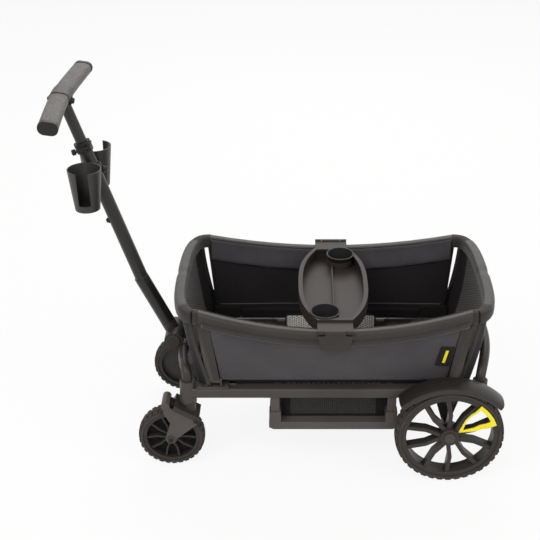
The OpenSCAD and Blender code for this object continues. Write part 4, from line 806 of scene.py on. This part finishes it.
for end in endOf:
    low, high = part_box("seat_cushion_" + end)
    mid = (low + high) / 2
    bm = bmesh.new()
    block(bm, (0, 0, 0), (padSpec["wide"], padSpec["deep"], padSpec["tall"]))
    upright = [d for d in bm.edges if abs(d.verts[0].co.z - d.verts[1].co.z) > padSpec["tall"] / 2]
    bmesh.ops.bevel(bm, geom=upright, offset=padSpec["corner"], segments=5, profile=0.5, affect="EDGES", material=-1)
    bmesh.ops.translate(bm, verts=bm.verts, vec=mid)
    pad = newPiece("seatPad." + end, bm, "blackCloth", "chassis")
    modify(pad, "REMESH", mode="VOXEL", voxel_size=padSpec["voxel"], use_smooth_shade=True)
    meshed = bpy.data.meshes.new_from_object(pad.evaluated_get(bpy.context.evaluated_depsgraph_get()))
    pad.modifiers.clear()
    pad.data = meshed
    meshed.materials.clear()
    meshed.materials.append(finishes["padCloth"])
    blowUp(pad, padSpec["cap"])
    for v in pad.data.vertices:
        across = (v.co.x - mid.x) / (padSpec["wide"] / 2)
        for k in (-1, 1):
            near = (across - k * padSpec["channel"]) * padSpec["wide"] / 2 / padSpec["reach"]
            if v.co.z > mid.z:
                v.co.z -= padSpec["sewn"] * math.exp(-near * near)
        v.co.z = min(max(v.co.z, low.z + 0.3 * mm), high.z)
    modify(pad, "SUBSURF", levels=1, render_levels=1)
    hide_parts("seat_cushion_" + end)
print("seat pads ready")

# Foot well: knit windows in the long walls, plain cloth in the short ones
linerLow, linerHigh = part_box("well_liner")
linerSpec = {"grid": (176, 14), "in": 1.6 * mm, "corner": 14 * mm, "sag": 5 * mm, "thick": 1.6 * mm, "window": 0.8,
             "hem": 16 * mm, "gap": 0.4 * mm, "joined": True}
halfX = (linerHigh.x - linerLow.x) / 2 - linerSpec["in"]
halfY = (linerHigh.y - linerLow.y) / 2 - linerSpec["in"]
around = 4 * (halfX + halfY - 2 * linerSpec["corner"]) + 2 * math.pi * linerSpec["corner"]
linerSpec["map"] = (around, linerHigh.z - linerLow.z)


# A rounded oblong walked at an even pace: distance d round it gives the place and the way out
def oblongWalk(d, halfX, halfY, r):
    sides = [2 * (halfX - r), math.pi * r / 2, 2 * (halfY - r), math.pi * r / 2] * 2
    turn = -90
    at = Vector((-(halfX - r), -halfY, 0))
    for i, long in enumerate(sides):
        step = min(d, long)
        out = polar(1, turn)
        if i % 2 == 0:
            at = at + polar(step, turn + 90)
        else:
            turned = polar(1, turn + math.degrees(step / r))
            at = at + (turned - out) * r
            out = turned
            turn += 90
        d -= step
        if d <= 1e-9:
            break
    return at, out


def linerPlace(u, t):
    at, out = oblongWalk((u + 1) / 2 * around, halfX, halfY, linerSpec["corner"])
    midWall = 1 - (at.x / halfX) ** 2 if abs(out.y) > 0.5 else 1 - (at.y / halfY) ** 2
    at = at - out * linerSpec["sag"] * math.sin(math.pi * t) * max(0, midWall)
    return Vector((at.x + midX, at.y, mix(linerLow.z + linerSpec["gap"], linerHigh.z - linerSpec["gap"], t)))


def inWindow(at, share):
    onWall = abs(at.x - midX) < linerSpec["window"] * halfX and abs(at.y) > 0.9 * halfY
    return onWall and linerLow.z + linerSpec["hem"] < at.z < linerHigh.z - linerSpec["hem"]


wellLiner = newSheet("wellLiner", linerSpec, linerPlace, ["blackCloth", "openKnit"],
                     rule=inWindow)
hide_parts("well_liner")

# Knit guards that stand along both sides of the well
guardSpec = {"grid": (60, 26), "half": 134 * mm, "low": 206 * mm, "high": 272 * mm, "in": 3.4 * mm,
             "corner": 12 * mm, "lean": 2.2 * mm, "thick": 1.8 * mm, "hem": 5 * mm}
guardSpec["map"] = (2 * guardSpec["half"], guardSpec["high"] - guardSpec["low"])


def insideHem(at, share):
    return min(guardSpec["half"] - abs(at.x - midX), guardSpec["high"] - at.z) >= guardSpec["hem"]


for side, s in sideOf.items():
    def guardPlace(u, t):
        z = mix(guardSpec["low"], guardSpec["high"], t)
        near = max(0, 1 - (guardSpec["high"] - z) / guardSpec["corner"])
        half = guardSpec["half"] - guardSpec["corner"] * (1 - math.sqrt(1 - near * near))
        lean = guardSpec["lean"] * math.sin(math.pi * t) * (1 - u * u)
        return Vector((u * half + midX, s * (halfY - guardSpec["in"] - lean), z))

    guard = newSheet("wellGuard." + side, guardSpec, guardPlace,
                     ["blackCloth", "paleKnit"], rule=insideHem)
    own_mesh(guard)
print("foot well ready")

# Seat harness: webbing laid over each pad, slides on it, and a buckle in the middle
strapSpec = {"half": 13 * mm, "rise": 1.4 * mm}
lapSpec = {"grid": (6, 40), "map": (0.026, 0.152), "thick": 2 * mm, "from": 14 * mm, "to": 152 * mm,
           "arch": 3.2 * mm, "drift": 9 * mm, "twist": 1.6 * mm}
seatStrapSpec = {"grid": (6, 24), "map": (0.026, 0.08), "thick": 2 * mm, "from": 18 * mm, "to": 92 * mm,
                 "arch": 2.2 * mm}
slideSpec = {"y": 126 * mm, "rise": 1.8 * mm, "tall": 4 * mm, "corner": 1.2 * mm, "wide": 34 * mm, "deep": 26 * mm,
             "bar": 5 * mm, "barY": 11 * mm, "edge": 4 * mm}
buckleSpec = {"wide": 44 * mm, "deep": 40 * mm, "tall": 8 * mm, "corner": 3 * mm, "press": 9 * mm, "lug": 7 * mm,
              "rise": 2 * mm}
for end, e in endOf.items():
    low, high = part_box("seat_cushion_" + end)
    mid = (low + high) / 2
    base = high.z + strapSpec["rise"]
    for name, s in (("near", -1), ("far", 1)):
        def lapPlace(u, t):
            bend = math.sin(math.pi * t)
            drift = e * lapSpec["drift"] * bend * (0.6 + 0.4 * s)
            twist = lapSpec["twist"] * u * math.sin(2 * math.pi * t)
            return Vector((mid.x + u * strapSpec["half"] + drift, s * mix(lapSpec["from"], lapSpec["to"], t),
                           base + lapSpec["arch"] * bend + twist))

        newSheet("lapStrap.%s.%s" % (end, name), lapSpec, lapPlace, "webbing")

    def seatPlace(u, t):
        x = mix(seatStrapSpec["from"], seatStrapSpec["to"], t)
        rise = seatStrapSpec["arch"] * math.sin(math.pi * t)
        return Vector((mid.x - e * x, u * strapSpec["half"], base + rise))

    newSheet("seatStrap." + end, seatStrapSpec, seatPlace, "webbing")
    bm = bmesh.new()
    for s in (-1, 1):
        middle = Vector((mid.x, s * slideSpec["y"], base + slideSpec["rise"]))
        for k in (-1, 1):
            block(bm, middle + Vector((k * slideSpec["wide"] / 2, 0, 0)),
                  (slideSpec["edge"], slideSpec["deep"], slideSpec["tall"]), slideSpec["corner"])
        for k in (-1, 0, 1):
            block(bm, middle + Vector((0, k * slideSpec["barY"], 0)),
                  (slideSpec["wide"], slideSpec["bar"], slideSpec["tall"]), slideSpec["corner"])
    newPiece("strapSlides." + end, bm, "cupPlastic", "chassis")
    bm = bmesh.new()
    wide, deep, tall, press = (buckleSpec[k] for k in ("wide", "deep", "tall", "press"))
    block(bm, (0, 0, 0), (wide, deep, tall), buckleSpec["corner"], 3)
    for s in (-1, 1):
        block(bm, (0, s * deep * 0.56, 0), (wide * 0.78, buckleSpec["lug"], tall * 0.6))
    lathe(bm, [(0.1 * mm, 0), (press * 1.3, 0), (press * 1.3, tall * 0.56), (press * 1.12, tall * 0.6),
               (press, tall * 0.5), (press * 0.9, tall * 0.72), (0.1 * mm, tall * 0.76)], 28, Matrix.Identity(4))
    bmesh.ops.translate(bm, verts=bm.verts, vec=Vector((mid.x, 0, base + buckleSpec["rise"])))
    buckle = newPiece("buckle." + end, bm, "blackPlastic", "chassis")
    if e < 0:
        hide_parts("harness")

# Wire rods along the seats' sides, each with a collar near the well
rodSpec = {"r": 2.4 * mm, "y": 163.6 * mm, "z": 251.5 * mm, "from": 158 * mm, "to": 306 * mm, "collar": (0.06, 0.1)}
for end, e in endOf.items():
    bm = bmesh.new()
    r = rodSpec["r"]
    long = rodSpec["to"] - rodSpec["from"]
    near, far = (long * share for share in rodSpec["collar"])
    for s in (-1, 1):
        where = Matrix.Translation((midX + e * rodSpec["from"], s * rodSpec["y"], rodSpec["z"])) @ Matrix.Rotation(
            math.radians(90 * e), 4, "Y")
        lathe(bm, [(0.1 * r, 0), (0.7 * r, 0), (r, 0.6 * r), (r, near), (1.7 * r, near), (1.7 * r, far), (r, far),
                   (r, long - 0.6 * r), (0.7 * r, long), (0.1 * r, long)], 16, where)
    newPiece("seatRods." + end, bm, "greyPlastic", "chassis")
print("harness ready")

# Grips: leatherette sleeves, each with a seam along its underside
clampLow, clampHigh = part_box("grip_clamp")
gripSpec = {"half": 240 * mm, "clamp": 54 / 480, "cap": 1 - 24 / 480, "sweep": 15 * mm, "sweepPower": 1.4,
            "wide": 48 * mm, "thick": 32 * mm, "power": 2.9, "tilt": 8, "seam": 0.05, "seamWide": 0.012,
            "tuck": 0.06, "grid": (60, 64), "map": (0.2, 0.14)}
gripMid = (clampLow + clampHigh) / 2
gripMid.y = 0


def gripPlace(along, a):
    lean = math.radians(gripSpec["tilt"])
    t = mix(gripSpec["clamp"], gripSpec["cap"], along)
    tuck = 1 - gripSpec["tuck"] * (1 - ease(0, 0.03, along) * ease(0, 0.03, 1 - along))
    seam = 1 - gripSpec["seam"] * math.exp(-((a - 0.75) / gripSpec["seamWide"]) ** 2)
    o, z = oblong(gripSpec["wide"] * tuck * seam, gripSpec["thick"] * tuck * seam, a, gripSpec["power"])
    sweep = gripSpec["sweep"] * t ** gripSpec["sweepPower"]
    return gripMid + Vector((o * math.cos(lean) + z * math.sin(lean) + sweep, -t * gripSpec["half"],
                             z * math.cos(lean) - o * math.sin(lean)))


bm = tubeGrid(gripSpec, gripPlace)
bmesh.ops.mirror(bm, geom=[*bm.verts, *bm.edges, *bm.faces], axis="Y")
bmesh.ops.recalc_face_normals(bm, faces=bm.faces)
grips = newPiece("gripSleeves", bm, "gripLeather", "handle_top")
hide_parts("grips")
print("grips ready")

# Liners in the tray's two cup wells: a dark finish inside, the tray's plastic on the lip
cupSpec = {"x": 24.8 * mm, "y": 165.1 * mm, "r": 33.3 * mm, "foot": 436.2 * mm, "lip": 468.3 * mm,
           "neck": 36.2 * mm, "lipOut": 40 * mm, "wall": 1.6 * mm}
bm = bmesh.new()
r, wall, foot, lip, neck, out = (cupSpec[k] for k in ("r", "wall", "foot", "lip", "neck", "lipOut"))
for s in (-1, 1):
    where = Matrix.Translation((midX + s * cupSpec["x"], s * cupSpec["y"], 0))
    lathe(bm, [(0.1 * mm, foot), (r - 2 * mm, foot), (r - 0.4 * mm, foot + 1.6 * mm), (r - 0.2 * mm, lip - 12 * mm),
               (neck, lip - 11 * mm), (neck, lip), (out - 0.8 * mm, lip), (out, lip + 0.9 * mm),
               (out - 0.6 * mm, lip + 2.2 * mm), (neck, lip + 2.4 * mm), (neck - wall, lip + 1 * mm),
               (neck - wall - 0.4 * mm, lip - 10 * mm), (r - wall, lip - 12 * mm),
               (r - wall - 1 * mm, foot + 4 * mm), (r - wall - 2.6 * mm, foot + wall), (0.1 * mm, foot + wall)],
          72, where)


def onLip(at, share):
    mid = Vector((midX + math.copysign(cupSpec["x"], at.y), math.copysign(cupSpec["y"], at.y), at.z))
    return (at - mid).length >= neck - 0.3 * mm


paintFaces(bm, onLip)
newPiece("cupLiners", bm, ["elastomer", "trayPlastic"], "tray_body")
print("tray liners ready")

# A plain woven patch on the left wall, black with one yellow bar
patchSpec = {"grid": (20, 34), "map": (40 * mm, 68 * mm), "x": 291 * mm, "z": 357 * mm, "tilt": 10, "off": 3.4 * mm,
             "thick": 1.2 * mm, "barWide": 0.2, "barTall": 0.66}


def patchPlace(u, t):
    a = u * patchSpec["map"][0] / 2
    b = (t - 0.5) * patchSpec["map"][1]
    lean = math.radians(patchSpec["tilt"])
    x = patchSpec["x"] + a * math.cos(lean) + b * math.sin(lean)
    z = patchSpec["z"] - a * math.sin(lean) + b * math.cos(lean)
    y, top = rimLine(x)
    share = (z - wallSpec["foot"]) / (top - wallSpec["under"] - wallSpec["foot"])
    crown = crownOf(x / mix(basket["panelFoot"], panelTop, share), share)
    return Vector((x + midX, -(mix(basket["hingeY"], y, share) + crown + patchSpec["off"]), z))


def inBar(at, share):
    across, up = (abs(k * 2 - 1) for k in share)
    return across < patchSpec["barWide"] and up < patchSpec["barTall"]


newSheet("wallPatch", patchSpec, patchPlace, ["blackCloth", "yellowPlastic"],
         "wall_left", rule=inBar)

# Coloured frame round one window of each rear wheel; corners are a radius in mm and a turn in degrees
accentSpec = {"turn": 38, "face": 17.6 * mm, "ring": 108, "proud": 0.6 * mm, "thick": 3.2 * mm, "trim": 0.6 * mm,
              "outer": [(26, -6), (69, -23), (128, -19), (128, 15), (66, 16.5)],
              "inner": [(40, -6), (67, -13), (117, -11), (117, 12), (66, 12.5)], "steps": 8}
pivotOf = {j["name"]: Vector(j["pos_m"]) for j in frame["record"]["behaviour"]["joints"] if "pos_m" in j}


# Points from corner to corner; an edge between equal radii follows the arc
def accentLoop(corners):
    loop = []
    corners = [(r, turn + accentSpec["turn"]) for r, turn in corners]
    for (r, turn), (thenR, thenTurn) in zip(corners, corners[1:] + corners[:1]):
        for k in range(accentSpec["steps"]):
            share = k / accentSpec["steps"]
            if r == thenR:
                loop.append(polar(r, mix(turn, thenTurn, share)))
            else:
                loop.append(polar(r, turn).lerp(polar(thenR, thenTurn), share))
    return loop


for side, s in sideOf.items():
    hub = pivotOf["rear_%s_spin" % side]
    low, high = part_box("rear_rim_" + side)
    ringFace = (high.y - low.y) / 2
    bm = bmesh.new()
    for corners in (accentSpec["outer"], accentSpec["inner"]):
        ring = []
        for at in accentLoop(corners):
            rise = ease(0.8 * accentSpec["ring"], accentSpec["ring"], at.length)
            face = mix(accentSpec["face"], ringFace + accentSpec["proud"], rise)
            ring.append(bm.verts.new((hub.x + at.x * mm, hub.y + s * face, hub.z + at.y * mm)))
        for ends in zip(ring, ring[1:] + ring[:1]):
            bm.edges.new(ends)
    bmesh.ops.bridge_loops(bm, edges=bm.edges)
    bmesh.ops.recalc_face_normals(bm, faces=bm.faces)
    accent = thicken(newPiece("wheelAccent." + side, bm, "yellowPlastic", "rear_wheel_" + side),
                     accentSpec["thick"])
    modify(accent, "BEVEL", width=accentSpec["trim"], segments=2)
print("wheel accents ready")

# Bolt heads on the casters: how big, how deep they sit, and the solid, joint and body that they belong to
boltSpecs = [
    {"name": "axleBolts", "r": 7 * mm, "tall": 4 * mm, "sunk": 1.4 * mm, "solid": "fork_%s",
     "joint": "front_%s_spin", "body": "caster_%s_fork"},
    {"name": "pivotBolts", "r": 5 * mm, "tall": 4 * mm, "sunk": 0, "solid": "caster_%s",
     "joint": "fork_%s_spring", "body": "caster_%s_swivel"},
]
for side in sideOf:
    for spec in boltSpecs:
        pivot = pivotOf[spec["joint"] % side]
        low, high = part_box(spec["solid"] % side)
        bm = bmesh.new()
        for edge, way in ((low.y + spec["sunk"], -1), (high.y - spec["sunk"], 1)):
            boltHead(bm, Vector((pivot.x, edge, pivot.z)), Vector((0, way, 0)), spec["r"], spec["tall"])
        newPiece("%s.%s" % (spec["name"], side), bm, "blackPlastic", spec["body"] % side)

# Snap button and clamp screws on the handle
knobSpec = {"lean": 18, "snapZ": 660 * mm, "snap": 6 * mm, "snapTall": 6 * mm, "sunk": 0.6 * mm, "cup": 6.5 * mm,
            "cupTall": 9 * mm, "clamp": 7.5 * mm, "clampTall": 7 * mm, "clampDip": 0.2}
lean = math.radians(knobSpec["lean"])
shaftWay = Vector((-math.sin(lean), 0, math.cos(lean)))
frontWay = Vector((-shaftWay.z, 0, shaftWay.x))
low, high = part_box("handle_lower")
tubeR = (high.y - low.y) / 2
onShaft = gripMid + shaftWay * ((knobSpec["snapZ"] - gripMid.z) / shaftWay.z)
bm = bmesh.new()
boltHead(bm, onShaft + frontWay * (tubeR - knobSpec["sunk"]), frontWay, knobSpec["snap"], knobSpec["snapTall"])
low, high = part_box("cup_clamp")
boltHead(bm, Vector((high.x, 0, (low.z + high.z) / 2)), Vector((1, 0, 0)), knobSpec["cup"], knobSpec["cupTall"])
newPiece("shaftButtons", bm, "blackPlastic", "handle")
bm = bmesh.new()
for s, reach, drop in ((-1, 27.5 * mm, 9 * mm), (1, 25 * mm, 13 * mm)):
    boltHead(bm, gripMid + Vector((s * reach, 0, -drop)), Vector((s, 0, -knobSpec["clampDip"])).normalized(),
             knobSpec["clamp"], knobSpec["clampTall"])
newPiece("clampBolts", bm, "blackPlastic", "handle_top")

# Shoes of the wall posts on the rails
shoeSpec = {"x": 324 * mm, "half": 43 * mm, "in": 168 * mm, "out": 200 * mm, "low": 247.6 * mm, "high": 253.4 * mm,
            "corner": 1.8 * mm, "boltX": 35 * mm, "boltY": 190 * mm, "bolt": 3.4 * mm, "boltTall": 2.2 * mm}
shoeSize = (2 * shoeSpec["half"], shoeSpec["out"] - shoeSpec["in"], shoeSpec["high"] - shoeSpec["low"])
bm = bmesh.new()
for e in (-1, 1):
    for s in (-1, 1):
        x = midX + e * shoeSpec["x"]
        block(bm, (x, s * (shoeSpec["in"] + shoeSpec["out"]) / 2, (shoeSpec["low"] + shoeSpec["high"]) / 2),
              shoeSize, shoeSpec["corner"], 3)
        for k in (-1, 1):
            boltHead(bm, Vector((x + k * shoeSpec["boltX"], s * shoeSpec["boltY"], shoeSpec["high"])),
                     Vector((0, 0, 1)), shoeSpec["bolt"], shoeSpec["boltTall"])
# The shoes take the rails' lighter copy of the frame coat: painted light
newPiece("postShoes", bm, "railCoat", "chassis")

# Cloth skirts inside the hinge brackets
skirtSpec = {"grid": (20, 10), "map": (0.078, 0.037), "from": 266 * mm, "to": 344 * mm, "y": 170.4 * mm,
             "low": 253.8 * mm, "high": 294 * mm, "bow": 0.8 * mm, "thick": 1.2 * mm}
for end, e in endOf.items():
    for side, s in sideOf.items():
        def skirtPlace(u, t):
            x = mix(skirtSpec["from"], skirtSpec["to"], (u + 1) / 2)
            bow = skirtSpec["bow"] * math.sin(math.pi * t) * (1 - u * u)
            return Vector((e * x + midX, s * (skirtSpec["y"] - bow), mix(skirtSpec["low"], skirtSpec["high"], t)))

        skirt = newSheet("hingeSkirt.%s.%s" % (end, side), skirtSpec, skirtPlace)
        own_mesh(skirt)
print("bolts, shoes and skirts ready")
